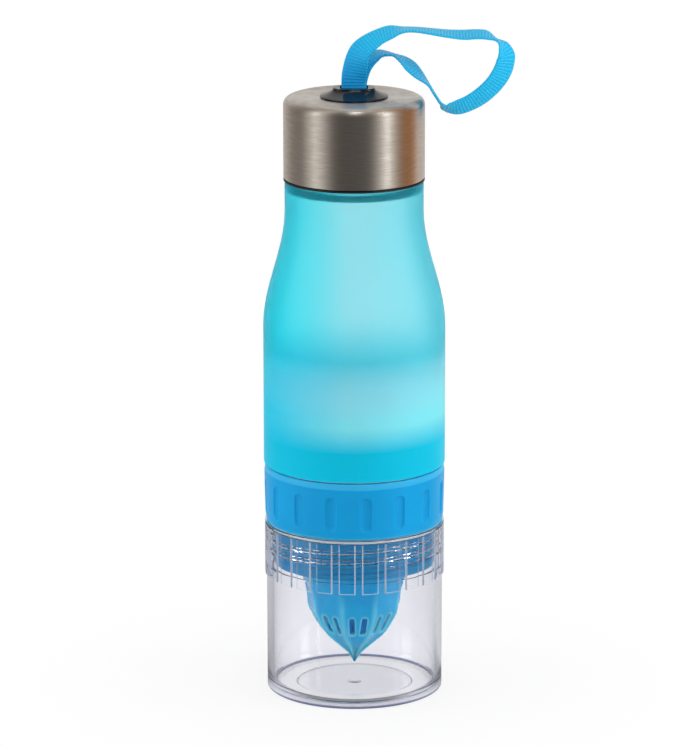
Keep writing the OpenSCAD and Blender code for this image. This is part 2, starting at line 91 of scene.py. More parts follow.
# Depth and height of the seats for the seal rings, and thickness of the press's flange
REBATE = 0.0015
FLANGE_H = 0.0022
# Height of the collar's top rim, which is painted paler as a painted glow of light through it
RIM_H = 0.0026
# The lining's wall, and the gap between it and the steel
LINING_WALL = 0.00315
LINING_GAP = 0.00005
# Middle of the first groove between the cup's pads, and of the collar's first flute
FIRST_GROOVE = FRONT + math.radians(92.65)
FIRST_FLUTE = FRONT + math.radians(7.25)

# How far the corners of outlines are cut back, from a crease to a wide round
FINE = 0.0001
EDGE = 0.0002
SOFT = 0.0003
BLUNT = 0.0005
ROUND = 0.0006
WIDE = 0.0008
# Two places on an outline that lie no further apart than this are one
SAME = 1e-6

# Screw threads: two right-hand ridges, so the lead is twice the pitch
LEAD = 0.008
PITCH = LEAD / 2
RIDGE_H = 0.0012
RIDGE_BASE = 0.002
RIDGE_CREST = 0.001
RIDGE_TURNS = 1.3
SOCKET_TURNS = 1.1
RIDGE_START = 0.0011
THREAD_GAP = 0.00035
LOW_PHASE = math.radians(228)
HIGH_PHASE = math.radians(90)

# The strap's route outside its pin, from the pin's centre, up in front and back down behind
STRAP_ROUTE = [
    (0, -0.002, 0.0044), (0, -0.002, 0.009), (0.0005, -0.002, 0.0135), (0.0013, -0.002, 0.0176),
    (0.0027, -0.0015, 0.0204), (0.0056, -0.001, 0.0232), (0.0098, 0, 0.0257), (0.0146, 0, 0.0276),
    (0.0194, 0, 0.0285), (0.0241, 0, 0.0286), (0.0301, 0, 0.0279), (0.0367, 0, 0.027),
    (0.0432, 0, 0.0265), (0.0483, 0, 0.0267), (0.0526, 0, 0.0264), (0.0567, 0, 0.0243),
    (0.0591, 0, 0.0216), (0.0602, 0, 0.0187), (0.0602, 0, 0.0161), (0.0588, 0, 0.0116),
    (0.0555, 0, 0.0065), (0.0507, 0, 0.002), (0.0459, 0, -0.001), (0.041, 0, -0.0028),
    (0.0369, 0, -0.0028), (0.0345, 0, -0.0012), (0.0319, 0.002, 0.0024), (0.0295, 0.003, 0.006),
    (0.0252, 0.004, 0.0103), (0.022, 0.005, 0.0134), (0.0188, 0.0055, 0.0159), (0.0159, 0.006, 0.0173),
    (0.0126, 0.006, 0.0179), (0.0092, 0.006, 0.0174), (0.0055, 0.005, 0.0158), (0.0026, 0.0038, 0.0129),
    (0.0005, 0.0023, 0.0086), (0, 0.002, 0.0042)]
# Direction of the strap's width at each point of its route
STRAP_LAY = [
    (-1, 0, 0), (-1, 0, 0), (-0.95, 0.3, 0), (-0.8, 0.5, 0.2), (-0.7, 0.6, 0.35),
    (-0.45, 0.75, 0.45), (-0.25, 0.87, 0.42), (-0.1, 0.93, 0.36), (0, 1, 0.05), (0, 1, 0),
    (0, 1, 0.05), (0, 1, 0.12), (0, 0.98, 0.2), (0, 0.98, 0.2), (0.1, 0.98, 0.15),
    (0, 0.99, -0.1), (0.4, 0.9, 0.1), (0.66, 0.75, 0), (0.75, 0.66, 0), (0.7, 0.6, -0.35),
    (0.6, 0.6, -0.5), (0.48, 0.62, -0.62), (0.33, 0.66, -0.67), (0.1, 0.72, -0.7), (-0.2, 0.87, -0.45),
    (-0.1, 0.98, -0.1), (0, 0.99, -0.13), (0.03, 0.99, -0.1), (0.2, 0.95, 0.2), (0.22, 0.93, 0.25),
    (0.12, 0.98, 0.05), (0, 0.99, -0.1), (0, 1, 0), (-0.2, 0.95, 0.2), (-0.5, 0.8, 0.35),
    (-0.8, 0.55, 0.25), (-0.985, 0.12, 0), (-1, 0, 0)]
WRAP_R = 0.002

# What gloss shows of the studio: turn from the front, in degrees to the right, and linear colour
STUDIO_RING = [
    (-180, (0.74, 0.72, 0.70)), (-150, (0.62, 0.58, 0.54)), (-132, (0.45, 0.40, 0.36)),
    (-120, (0.30, 0.26, 0.23)), (-92, (0.24, 0.21, 0.19)), (-80, (0.60, 0.55, 0.49)),
    (-70, (0.80, 0.75, 0.68)), (-56, (0.78, 0.73, 0.66)), (-44, (0.34, 0.30, 0.27)),
    (-34, (0.12, 0.10, 0.09)), (0, (0.08, 0.07, 0.065)), (28, (0.12, 0.10, 0.09)),
    (40, (0.42, 0.38, 0.33)), (50, (0.80, 0.75, 0.68)), (64, (0.78, 0.72, 0.64)),
    (78, (0.36, 0.24, 0.16)), (90, (0.40, 0.17, 0.05)), (112, (0.46, 0.19, 0.05)),
    (124, (0.78, 0.64, 0.56)), (150, (0.70, 0.66, 0.62)), (180, (0.74, 0.72, 0.70))]
LAMP_AIM = Vector((0, 0, 0.15))
# Range that most of a noise keeps to, and how far red, green and blue light goes inside blue plastic
NOISE_RANGE = (0.3, 0.7)
BLUE_REACH = (0.2, 0.8, 1.0)
# Width of the steep steps at the edges of the cup's pads
STEP_W = 0.00012

# Radius at which the press has its whole wall; nearer its point the wall is thinner
WALL_FULL_R = 0.006

# Crests of the press: shares of its fullest radius and of its height, from its point up to its flange
PRESS_SHARES = [
    (0.02, 0), (0.15, 0.083), (0.395, 0.18), (0.67, 0.29), (0.845, 0.403), (0.965, 0.512),
    (0.997, 0.63), (1.05, 0.725), (1.14, 0.815), (1.3, 0.92), (1.45, 0.975)]


def size(name, default, description):
    """A length that the user may change, in metres."""
    return FloatProperty(name=name, description=description, default=default, min=0,
                         subtype="DISTANCE", unit="LENGTH", precision=5)


def colour(name, default, description):
    """A linear colour that the user may change."""
    return FloatVectorProperty(name=name, description=description, default=default, size=3,
                               min=0, max=1, subtype="COLOR")


def share(name, default, description):
    """A number from 0 to 1 that the user may change."""
    return FloatProperty(name=name, description=description, default=default, min=0, max=1,
                         subtype="FACTOR")


def amount(name, default, description):
    """A number from 0 up that the user may change."""
    return FloatProperty(name=name, description=description, default=default, min=0)


def whole(name, default, description):
    """A count that the user may change."""
    return IntProperty(name=name, description=description, default=default, min=1)


class CupSettings(bpy.types.PropertyGroup):
    """Sizes and finish of the clear cup."""
    pad_count: whole("Pads", 24, "Grip pads round the cup")
    pad_band: size("Pad band", 0.022, "Height of the band of pads, with its rim")
    pad_rim: size("Plain rim", 0.0016, "Height of the plain rim above the pads")
    groove_w: size("Groove width", 0.0031, "Width of the groove between two pads")
    groove_depth: size("Groove depth", 0.0007, "Depth of the groove between two pads")
    draft: size("Draft", 0.0001, "Taper of the wall from the pads to the foot")
    wall: size("Wall", 0.0028, "Thickness of the wall below the thread")
    thread_wall: size("Thread wall", 0.0018, "Thickness of the wall outside the thread")
    floor: size("Floor", 0.002, "Thickness of the floor")
    foot_round: size("Foot rounding", 0.0012, "Rounding of the foot's edge")
    hollow_r: size("Foot hollow", 0.0232, "Radius of the shallow hollow under the foot")
    hollow_depth: size("Hollow depth", 0.0005, "Depth of the hollow under the foot")
    tint: colour("Plastic", (0.99, 0.99, 0.995), "Tint of the clear plastic's surface")
    # Painted highlight: colour of the fine lines of light along the pads' edges
    glint_tint: colour("Line tint", (0.66, 0.72, 0.84), "Colour of the light along the pads' edges")
    # Painted shade: the foot's outer edge is coloured dark, partly the tint of thick plastic, partly the dark
    # surroundings it bends in
    painted_foot_tint: colour("Foot tint", (0.17, 0.19, 0.38), "Colour of the foot's edge")
    depth_tint: colour("Depth tint", (0.0, 0.05, 0.4), "Colour that thick plastic takes on")
    depth: amount("Depth", 28, "How fast the clear plastic takes on its depth tint, per metre")
    gloss: share("Roughness", 0.02, "Roughness of the clear plastic")


class CollarSettings(bpy.types.PropertyGroup):
    """Sizes and finish of the threaded grip collar."""
    flute_count: whole("Flutes", 16, "Finger flutes round the band")
    flute_w: size("Flute width", 0.00475, "Width of a flute")
    flute_h: size("Flute length", 0.0139, "Length of a flute, end to end")
    flute_depth: size("Flute depth", 0.0009, "Depth of a flute")
    taper: size("Taper", 0.00035, "How much smaller the band is near its bottom")
    skirt_wall: size("Skirt wall", 0.0022, "Wall of the two threaded skirts")
    band_wall: size("Band wall", 0.0028, "Wall of the band behind its flutes")
    web: size("Web", 0.0022, "Thickness of the webs that join band and skirts")
    tint: colour("Plastic", (0.0, 0.335, 0.69), "Colour of the collar")
    # Painted glow: the thin rims are coloured paler, as if light shone through them
    rim_glow_tint: colour("Rims", (0.03, 0.42, 0.74), "Colour of the thin rims, where light gets through")
    gloss: share("Roughness", 0.34, "Roughness of the collar")


class PressSettings(bpy.types.PropertyGroup):
    """Sizes and finish of the citrus press."""
    full_r: size("Radius", 0.0197, "Radius of the press at its fullest")
    rib_count: whole("Ribs", 9, "Ribs that press the fruit")
    rib_h: size("Rib height", 0.0013, "How far a rib stands out from its panels")
    wall: size("Wall", 0.0016, "Wall of the press")
    slot_w: size("Slot width", 0.0023, "Width of a drain slot")
    slot_h: size("Slot length", 0.0088, "Length of a drain slot, end to end")
    tint: colour("Plastic", (0.0, 0.48, 1.0), "Colour of the press")
    # Painted highlight and glow: colour of the ribs and slot edges, where light would catch and shine through
    pale: colour("Thin plastic", (0.16, 0.66, 1.0), "Colour of the ribs and slot edges")
    gloss: share("Roughness", 0.16, "Roughness of the press")


class BodySettings(bpy.types.PropertyGroup):
    """Sizes and finish of the frosted bottle."""
    barrel_h: size("Barrel", 0.0556, "Height of the barrel's straight wall")
    shoulder_h: size("Shoulder", 0.0486, "Height of the curved shoulder")
    neck_r: size("Neck radius", 0.0278, "Radius of the neck under the cap")
    neck_h: size("Neck height", 0.0115, "Height of the straight neck")
    wall: size("Wall", 0.002, "Wall of the bottle")
    thread_wall: size("Thread wall", 0.0024, "Wall outside the bottom thread")
    mouth_wall: size("Mouth wall", 0.00285, "Wall of the threaded mouth")
    tint: colour("Plastic", (0.97, 1.0, 1.0), "Tint of the frosted plastic's surface")
    # Painted shade: the bottle's -X side is tinted a deeper cyan, where less light falls
    shaded_side_tint: colour("Deep side", (0.2, 0.96, 0.98), "Tint where the dye is deep")
    # Painted glow: round the collar's skirt inside, the wall is coloured as the lit blue skirt seen through
    # it
    rim_glow_tint: colour("Rim", (0.34, 0.92, 0.95), "Colour that scatters above the collar's skirt inside")
    painted_foot_tint: colour("Foot", (0.0, 0.64, 0.88), "Colour that scatters round the bottom thread")
    skirt_glow_scatter: share("Foot scatter", 0.6, "Share of the light that scatters low down")
    skin: share("Skin", 0.3, "How much light the frosted skin throws back")
    skin_tint: colour("Skin tint", (0.0, 0.75, 0.9), "Colour that the frosted skin throws back")
    depth_tint: colour("Depth tint", (0.0, 0.81, 0.885), "Colour that thick plastic takes on")
    depth: amount("Depth", 185, "How fast the frosted plastic takes on its depth tint, per metre")
    gloss: share("Roughness", 0.36, "Roughness of the frosted plastic")


class CapSettings(bpy.types.PropertyGroup):
    """Sizes and finish of the cap's steel shell and lining."""
    steel_t: size("Steel", 0.0006, "Thickness of the steel")
    edge_round: size("Edge rounding", 0.003, "Rounding of the shell's top edge")
    lip_gap: size("Lip gap", 0.0004, "How far the steel's rolled foot stays above the lining's lip")
    hole_r: size("Hole", 0.00855, "Radius of the hole for the boss's stem")
    steel: colour("Steel", (0.62, 0.59, 0.55), "Colour of the brushed steel")
    gloss: share("Roughness", 0.38, "Roughness of the brushed steel")
    lining: colour("Lining", (0.012, 0.012, 0.015), "Colour of the plastic lining")


class BossSettings(bpy.types.PropertyGroup):
    """Sizes and finish of the strap's boss."""
    edge_h: size("Foot edge", 0.0006, "Height of the upright edge of the boss's foot")
    top_l: size("Top length", 0.017, "Length of the oval top")
    top_w: size("Top width", 0.011, "Width of the oval top")
    stem_r: size("Stem", 0.0085, "Radius of the stem")
    slot_l: size("Slot length", 0.011, "Length of the strap's slot")
    slot_w: size("Slot width", 0.008, "Width of the strap's slot")
    tint: colour("Plastic", (0.006, 0.007, 0.012), "Colour of the boss")
    gloss: share("Roughness", 0.12, "Roughness of the boss")


class StrapSettings(bpy.types.PropertyGroup):
    """Sizes and finish of the woven strap."""
    width: size("Width", 0.01, "Width of the strap")
    thick: size("Thickness", 0.0012, "Thickness of the strap")
    rib_pitch: size("Rib pitch", 0.00125, "Distance from one woven rib to the next")
    rib_depth: size("Rib depth", 0.00016, "Depth of the valleys between the ribs")
    tint: colour("Yarn", (0.0, 0.40, 0.72), "Colour of the yarn")
    # A darker blue from the pin up through the boss's slot, fading out a little above it
    deep: colour("Deep yarn", (0.0, 0.27, 0.62), "Colour of the yarn where the front limb leaves the boss")
    # Painted highlight: the ribs' crests are coloured paler, where they catch light
    pale: colour("Pale yarn", (0.02, 0.56, 0.84), "Colour of the yarn where it catches light")


class StageSettings(bpy.types.PropertyGroup):
    """The studio: floor, world and lamps."""
    floor_size: size("Floor", 9.0, "Side of the floor")
    floor_tint: colour("Floor colour", (0.85, 0.85, 0.85), "Colour of the floor")
    world_level: amount("World", 0.78, "Strength of the world's light")
    inner_gain: amount("Inner gain", 1.1, "Light added inside clear pieces, which lamps miss")
    inner_white: share("Inner white", 0.38, "How much white, not the studio, gloss shows inside clear pieces")
    dark_level: share("Dark side", 0.25, "Brightness that clear plastic bends in from the front")
    fill_level: amount("Fills", 4.2, "Brightness of the side fills' faces")
    lamp_level: amount("Lamps", 16.0, "Brightness of the high lamp's face, of which the strips have a share")


SETTINGS = {
    "bottle_cup": CupSettings, "bottle_collar": CollarSettings, "bottle_press": PressSettings,
    "bottle_body": BodySettings, "bottle_cap": CapSettings, "bottle_boss": BossSettings,
    "bottle_strap": StrapSettings, "bottle_stage": StageSettings}


def unit(v):
    """Vectors scaled to length one, along the last axis."""
    return v / np.maximum(np.linalg.norm(v, axis=-1, keepdims=True), 1e-12)


def ramp(x, low, high):
    """Zero below low, one above high, and a straight climb between."""
    return np.clip((x - low) / (high - low), 0, 1)


def ease(t):
    """3t² - 2t³: the same ends with level starts and stops."""
    return t * t * (3 - 2 * t)


def spline(points, steps):
    """Catmull-Rom curve: each stretch is the cubic that leaves its ends along their neighbours' chord."""
    p = np.asarray(points, float)
    ends = np.concatenate([p[:1], p, p[-1:]])
    a, b, c, d = (ends[k:len(p) + k - 1][:, None] for k in range(4))
    t = (np.arange(steps) / steps)[None, :, None]
    curve = b + (c - a) * t / 2 + (2 * a - 5 * b + 4 * c - d) * t**2 / 2 + (3 * b - a - 3 * c + d) * t**3 / 2
    return np.concatenate([curve.reshape(-1, p.shape[1]), p[-1:]])


def rounded(corners, steps=5):
    """Outline through corners (x, z, cut): each corner c gives way to the parabola
    (1-t)² a + 2t(1-t) c + t² b, where a and b lie the length cut before and after it."""
    c = np.asarray(corners, float)
    here, cut = c[:, :2], c[:, 2:]
    a = here + unit(np.roll(here, 1, 0) - here) * cut
    b = here + unit(np.roll(here, -1, 0) - here) * cut
    t = np.linspace(0, 1, steps)[None, :, None]
    line = ((1 - t)**2 * a[:, None] + 2 * t * (1 - t) * here[:, None] + t**2 * b[:, None]).reshape(-1, 2)
    step = np.linalg.norm(np.diff(line, axis=0), axis=1)
    return line[np.concatenate([[True], step > 1e-7])]


def refined(line, step):
    """The same outline with points no further apart than about step; every old point stays."""
    s = np.concatenate([[0], np.cumsum(np.linalg.norm(np.diff(line, axis=0), axis=1))])
    new = np.arange(step, s[-1], step)
    far = np.abs(new[:, None] - s[None, :]).min(1) > step * 0.3
    places = np.union1d(s, new[far])
    return np.stack([np.interp(places, s, line[:, k]) for k in range(2)], 1)


def turned(line, angles, rise=None):
    """Grid of points of a turned surface: (r cos a, r sin a, z), with r the outline's x plus rise."""
    r = line[:, :1] + (0 if rise is None else rise)
    z = np.broadcast_to(line[:, 1:], (len(line), len(angles)))
    return np.stack([r * np.cos(angles), r * np.sin(angles), z], -1)


def circle(count):
    """Angles evenly spread round the axis."""
    return TURN * np.arange(count) / count


def ridge_rise(angles, z, first_z, turns, phase):
    """Height, from 0 to 1, of a thread's ridges over each point of a turned grid. A ridge's middle climbs
    from first_z by LEAD a turn, the two lie PITCH apart, and both run out at their ends."""
    run_out = 0.06
    along = (z - first_z) / LEAD
    off = (z - first_z - LEAD * (angles[None, :] - phase) / TURN) / PITCH
    away = np.abs(off - np.round(off)) * PITCH
    flank = ramp(-away, -RIDGE_BASE / 2, -RIDGE_CREST / 2)
    return ease(flank) * ease(ramp(along, 0, run_out)) * ease(ramp(-along, -turns, run_out - turns))


def screw_ridges(root_r, first_z, phase):
    """Two closed ridges of a thread: a rounded trapezoid carried up a helix, a point at its ends."""
    sink = 0.0004
    crest_cut = 0.00028
    run_out = 0.07
    outline = rounded([
        (-sink, -RIDGE_BASE / 2, 0), (0, -RIDGE_BASE / 2, EDGE),
        (RIDGE_H, -RIDGE_CREST / 2, crest_cut), (RIDGE_H, RIDGE_CREST / 2, crest_cut),
        (0, RIDGE_BASE / 2, EDGE), (-sink, RIDGE_BASE / 2, 0)], steps=4)
    t = np.linspace(0, 1, 120)
    grown = ease(ramp(t, 0, run_out)) * ease(ramp(-t, -1, run_out - 1))
    section = outline[None] * grown[:, None, None]
    r = root_r + section[..., 0] - sink * (1 - grown[:, None])
    grids = []
    for start in (0, math.pi):
        a = (phase + start + TURN * RIDGE_TURNS * t)[:, None]
        z = first_z + LEAD * RIDGE_TURNS * t[:, None] + section[..., 1]
        grids.append((np.stack([r * np.cos(a), r * np.sin(a), z], -1), False, True))
    return grids


def grid_faces(rows, cols, wrap_rows, wrap_cols, start=0):
    """Four-sided faces between neighbouring points of a grid that may close on itself either way."""
    i = np.arange(rows if wrap_rows else rows - 1)[:, None]
    j = np.arange(cols if wrap_cols else cols - 1)[None, :]
    near, far = i * cols, (i + 1) % rows * cols
    here, there = j, (j + 1) % cols
    return start + np.stack([near + here, near + there, far + there, far + here], -1).reshape(-1, 4)


def make_piece(name, grids, material, dropped=None, uv=None, sharp=35.0, recalc=True):
    """Mesh object from grids (points, wrap_rows, wrap_cols). Points that coincide are merged, so poles and
    run-outs close, and the faces are turned outwards. dropped masks faces of the first grid to leave out."""
    points, faces, start = [], [], 0
    for grid, wrap_rows, wrap_cols in grids:
        points.append(grid.reshape(-1, 3))
        faces.append(grid_faces(grid.shape[0], grid.shape[1], wrap_rows, wrap_cols, start))
        start += points[-1].shape[0]
    if dropped is not None:
        faces[0] = faces[0][~dropped.ravel()]
    points, faces = np.concatenate(points), np.concatenate(faces)
    mesh = bpy.data.meshes.new(name)
    mesh.vertices.add(len(points))
    mesh.vertices.foreach_set("co", points.astype(np.float32).ravel())
    mesh.loops.add(faces.size)
    mesh.loops.foreach_set("vertex_index", faces.astype(np.int32).ravel())
    mesh.polygons.add(len(faces))
    mesh.polygons.foreach_set("loop_start", np.arange(0, faces.size, 4, dtype=np.int32))
    mesh.update(calc_edges=True)
    if uv is not None:
        layer = mesh.uv_layers.new(name="surface")
        layer.data.foreach_set("uv", uv.reshape(-1, 2)[faces.ravel()].astype(np.float32).ravel())
    work = bmesh.new()
    work.from_mesh(mesh)
    bmesh.ops.remove_doubles(work, verts=work.verts, dist=2e-6)
    bmesh.ops.dissolve_degenerate(work, edges=work.edges, dist=1e-7)
    if recalc:
        bmesh.ops.recalc_face_normals(work, faces=work.faces)
        if work.calc_volume(signed=True) < 0:
            bmesh.ops.reverse_faces(work, faces=work.faces)
    work.to_mesh(mesh)
    work.free()
    mesh.polygons.foreach_set("use_smooth", np.ones(len(mesh.polygons), bool))
    if sharp:
        mesh.set_sharp_from_angle(angle=math.radians(sharp))
    mesh.materials.append(material)
    piece = bpy.data.objects.new(name, mesh)
    bpy.context.scene.collection.objects.link(piece)
    return piece


def settle(piece, body, node):
    """Ties a piece to its CAD body, and hides its CAD node so that the piece stands in its place."""
    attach(piece, body)
    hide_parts(node)


def shade(tint, times):
    """A colour made darker or paler by a factor."""
    return tuple(min(1.0, times * c) for c in tint)


class Nodes:
    """A node tree with short ways to add what the finishes and the world need."""

    def __init__(self, tree):
        self.tree = tree

    def feed(self, node, key, value):
        """Links a socket to a node's input, or writes a value there. A colour's alpha is one."""
        socket = node.inputs[key]
        if isinstance(value, bpy.types.NodeSocket):
            self.tree.links.new(value, socket)
        elif socket.type == "RGBA":
            socket.default_value = (*value, 1)
        else:
            socket.default_value = value

    def add(self, kind, inputs=None, **settings):
        """New node. An input is a socket to link, or a value to write."""
        node = self.tree.nodes.new(kind)
        for key, value in settings.items():
            setattr(node, key, value)
        for key, value in (inputs or {}).items():
            self.feed(node, key, value)
        return node

    def axes(self, source):
        """X, Y and Z of a place or a direction."""
        return self.add("ShaderNodeSeparateXYZ", {0: source}).outputs

    def math(self, operation, *numbers):
        """Result of a sum with one, two or three numbers."""
        return self.add("ShaderNodeMath", dict(enumerate(numbers)), operation=operation).outputs[0]

    def span(self, value, low, high, to_low=0.0, to_high=1.0, curve="LINEAR"):
        """Carries a value from one range to another, held at the ends."""
        ends = {"Value": value, "From Min": low, "From Max": high, "To Min": to_low, "To Max": to_high}
        return self.add("ShaderNodeMapRange", ends, interpolation_type=curve).outputs[0]

    def between(self, value, start, full, last, end):
        """0 before start and after end, 1 from full to last, with straight climbs between."""
        return self.math("MULTIPLY", self.span(value, start, full), self.span(value, end, last))

    def blend(self, factor, first, second):
        """Mix of two colours."""
        return self.add("ShaderNodeMix", {0: factor, 6: first, 7: second}, data_type="RGBA").outputs[2]


class Finish(Nodes):
    """A material's node tree round its Principled shader."""

    def __init__(self, name, base, roughness, values=None):
        self.material = bpy.data.materials.new(name)
        self.material.use_nodes = True
        super().__init__(self.material.node_tree)
        self.shader = self.tree.nodes["Principled BSDF"]
        self.output = self.tree.nodes["Material Output"]
        for key, value in {"Base Color": base, "Roughness": roughness, **(values or {})}.items():
            self.feed(self.shader, key, value)
        source = self.add("ShaderNodeTexCoord").outputs
        self.place = source["Object"]
        self.uv = source["UV"]

    def noise(self, scale, detail=2.0, stretch=None, source=None):
        """Noise from 0 to 1 over the object's own place, squeezed or drawn out by stretch."""
        where = source or self.place
        if stretch is not None:
            where = self.add("ShaderNodeMapping", {"Vector": where, "Scale": stretch}).outputs[0]
        inputs = {"Vector": where, "Scale": scale, "Detail": detail}
        return self.add("ShaderNodeTexNoise", inputs).outputs["Fac"]

    def grain(self, scale, detail, low=0.0, high=1.0):
        """Noise carried from its usual range to one from low to high."""
        return self.span(self.noise(scale, detail), *NOISE_RANGE, low, high)

    def cloudy(self, scale, tint, times):
        """A tint that drifts to a darker shade of itself."""
        return self.blend(self.grain(scale, 2), shade(tint, times), tint)

    def radius(self):
        """Distance from the bottle's axis."""
        level = self.add("ShaderNodeVectorMath", {0: self.place, 1: (1, 1, 0)}, operation="MULTIPLY")
        return self.add("ShaderNodeVectorMath", {0: level.outputs[0]}, operation="LENGTH").outputs["Value"]

    def colour(self, socket):
        """Colours the surface from a socket."""
        self.feed(self.shader, "Base Color", socket)

    def rough(self, socket):
        """Roughens the surface from a socket."""
        self.feed(self.shader, "Roughness", socket)

    def cloud_over(self, solid):
        """Stops the light that goes through, fully where solid is 1."""
        self.feed(self.shader, "Transmission Weight", self.span(solid, 1.0, 0.0))

    def absorb(self, tint, density):
        """Tints the light by how far it goes inside the piece."""
        volume = self.add("ShaderNodeVolumeAbsorption", {"Color": tint, "Density": density})
        self.feed(self.output, "Volume", volume.outputs[0])

    def bump(self, height, depth):
        """Small relief, depth metres deep."""
        relief = self.add("ShaderNodeBump", {"Height": height, "Distance": depth, "Strength": 1.0})
        self.feed(self.shader, "Normal", relief.outputs[0])


def clear_plastic(cup):
    """Clear polished plastic with faint flow marks, fine painted highlights along the pads' edges and a foot
    edge painted darker, partly the tint of thick plastic and partly painted shade. The UV map's X is the
    distance from the nearest pad's side edge, above 0 on the pad."""
    glint_w = 0.00016
    glint_reach = 0.0003
    glint_share = 0.7
    edge_h = 0.0011
    edge_w = 0.0018
    edge_fade = 0.0004
    edge_share = 0.45
    skin = 0.0009
    wall_r = PAD_R - cup.groove_depth
    pad_z = CUP_TOP - cup.pad_band
    rim_z = CUP_TOP - cup.pad_rim
    finish = Finish("clear_plastic", cup.tint, cup.gloss, {"Transmission Weight": 1.0, "IOR": 1.49})
    finish.bump(finish.noise(60, stretch=(1, 1, 0.15)), 0.000015)
    finish.rough(finish.span(finish.noise(900, 3), 0.35, 0.75, cup.gloss * 0.6, cup.gloss * 2.2))
    from_edge = finish.axes(finish.uv)["X"]
    height = finish.axes(finish.place)["Z"]
    radius = finish.radius()
    outside = finish.span(radius, wall_r - skin - SOFT, wall_r - skin)
    # Painted highlights: thin lines along the pads' side edges and their foot, where lamp light would catch
    beside = finish.span(finish.math("ABSOLUTE", from_edge), glint_reach, glint_w)
    beside = finish.math("MULTIPLY", beside, finish.between(height, pad_z - FINE, pad_z, rim_z, rim_z + FINE))
    from_foot = finish.math("ABSOLUTE", finish.math("SUBTRACT", height, pad_z))
    under = finish.math("MULTIPLY", finish.span(from_foot, glint_reach, glint_w),
                        finish.span(from_edge, -FINE, FINE))
    lines = finish.math("MULTIPLY", finish.math("MAXIMUM", beside, under), outside)
    # Painted shade: the outer foot edge turns dark purple-grey and lets less light through
    shaded_foot_edge = finish.math("MULTIPLY", finish.span(height, edge_h + edge_fade, edge_h),
                           finish.span(radius, wall_r - edge_w - ROUND, wall_r - edge_w))
    lined = finish.blend(lines, cup.tint, cup.glint_tint)
    finish.colour(finish.blend(shaded_foot_edge, lined, cup.painted_foot_tint))
    finish.cloud_over(finish.math("MULTIPLY_ADD", lines, glint_share,
                                  finish.math("MULTIPLY", shaded_foot_edge, edge_share)))
    finish.absorb(cup.depth_tint, cup.depth)
    return finish.material


def collar_plastic(collar):
    """Satin plastic that lets a little light through, with its thin rims painted paler as a painted glow."""
    finish = Finish("collar_plastic", collar.tint, collar.gloss, {
        "Subsurface Weight": 0.35, "Subsurface Scale": 0.004, "Subsurface Radius": BLUE_REACH,
        "Specular IOR Level": 0.2})
    height = finish.axes(finish.place)["Z"]
    rim_z = BAND_TOP - RIM_H
    foot_z = BAND_FOOT
    # Painted glow on the thin top and foot rims
    top = finish.between(height, rim_z - FINE, rim_z + EDGE, BAND_TOP + EDGE, BAND_TOP + 2 * EDGE)
    foot = finish.between(height, foot_z - SOFT, foot_z - FINE, foot_z + 2 * EDGE, foot_z + 6 * EDGE)
    rims = finish.math("MAXIMUM", top, foot)
    finish.colour(finish.blend(rims, finish.cloudy(45, collar.tint, 0.9), collar.rim_glow_tint))
    finish.bump(finish.noise(2600), 0.000012)
    finish.rough(finish.grain(700, 3, collar.gloss - 0.04, collar.gloss + 0.05))
    return finish.material


def press_plastic(press):
    """Glossy blue plastic, a little cloudy inside, with painted highlights and glow on its ribs and round its
    slots. The UV map's X is the share of that painted light, from 0 to 1, for the light its thin places let
    through."""
    finish = Finish("press_plastic", press.tint, press.gloss, {
        "Specular IOR Level": 0.35, "Subsurface Weight": 0.8, "Subsurface Scale": 0.006,
        "Subsurface Radius": BLUE_REACH})
    thin = finish.axes(finish.uv)["X"]
    # Painted highlight and glow on the ribs and round the slots, by the UV map's X
    finish.colour(finish.blend(thin, finish.cloudy(120, press.tint, 0.88), press.pale))
    finish.rough(finish.grain(500, 3, press.gloss * 0.7, press.gloss * 1.4))
    finish.bump(finish.noise(260), 0.00003)
    return finish.material


def frosted_plastic(body):
    """Frosted see-through plastic: its skin spreads the light that crosses it and throws a little back. One
    side is painted a deeper cyan, a painted shade, and low down, round the collar's skirt inside, the wall
    lets less light through and is painted a brighter blue, a painted glow of the lit skirt seen through it."""
    finish = Finish("frosted_plastic", body.tint, body.gloss, {
        "Transmission Weight": 1.0, "IOR": 1.2, "Sheen Weight": body.skin, "Sheen Roughness": 1.0,
        "Sheen Tint": body.skin_tint})
    place = finish.axes(finish.place)
    glow_top = SKIRT_TOP + 0.034
    glow_full = SKIRT_TOP + 0.01
    thread_top = SKIRT_TOP + 0.007
    thread_full = SKIRT_TOP - 0.003
    # Painted shade: the -X side takes the deeper tint
    shaded_side = finish.span(place["X"], -0.1 * BODY_R, -BODY_R)
    # Painted glow low down: the wall lets less light through there and takes the lit skirt's blue
    skirt_glow_zone = finish.span(place["Z"], glow_top, glow_full)
    thread = finish.span(place["Z"], thread_top, thread_full)
    wall = finish.blend(shaded_side, finish.cloudy(30, body.tint, 0.97), body.shaded_side_tint)
    rim = finish.blend(shaded_side, body.rim_glow_tint, body.painted_foot_tint)
    finish.colour(finish.blend(skirt_glow_zone, wall, finish.blend(thread, rim, body.painted_foot_tint)))
    finish.cloud_over(finish.math("MULTIPLY", skirt_glow_zone, body.skirt_glow_scatter))
    finish.bump(finish.noise(3500), 0.00001)
    finish.rough(finish.grain(900, 3, body.gloss - 0.03, body.gloss + 0.03))
    finish.absorb(body.depth_tint, body.depth)
    return finish.material


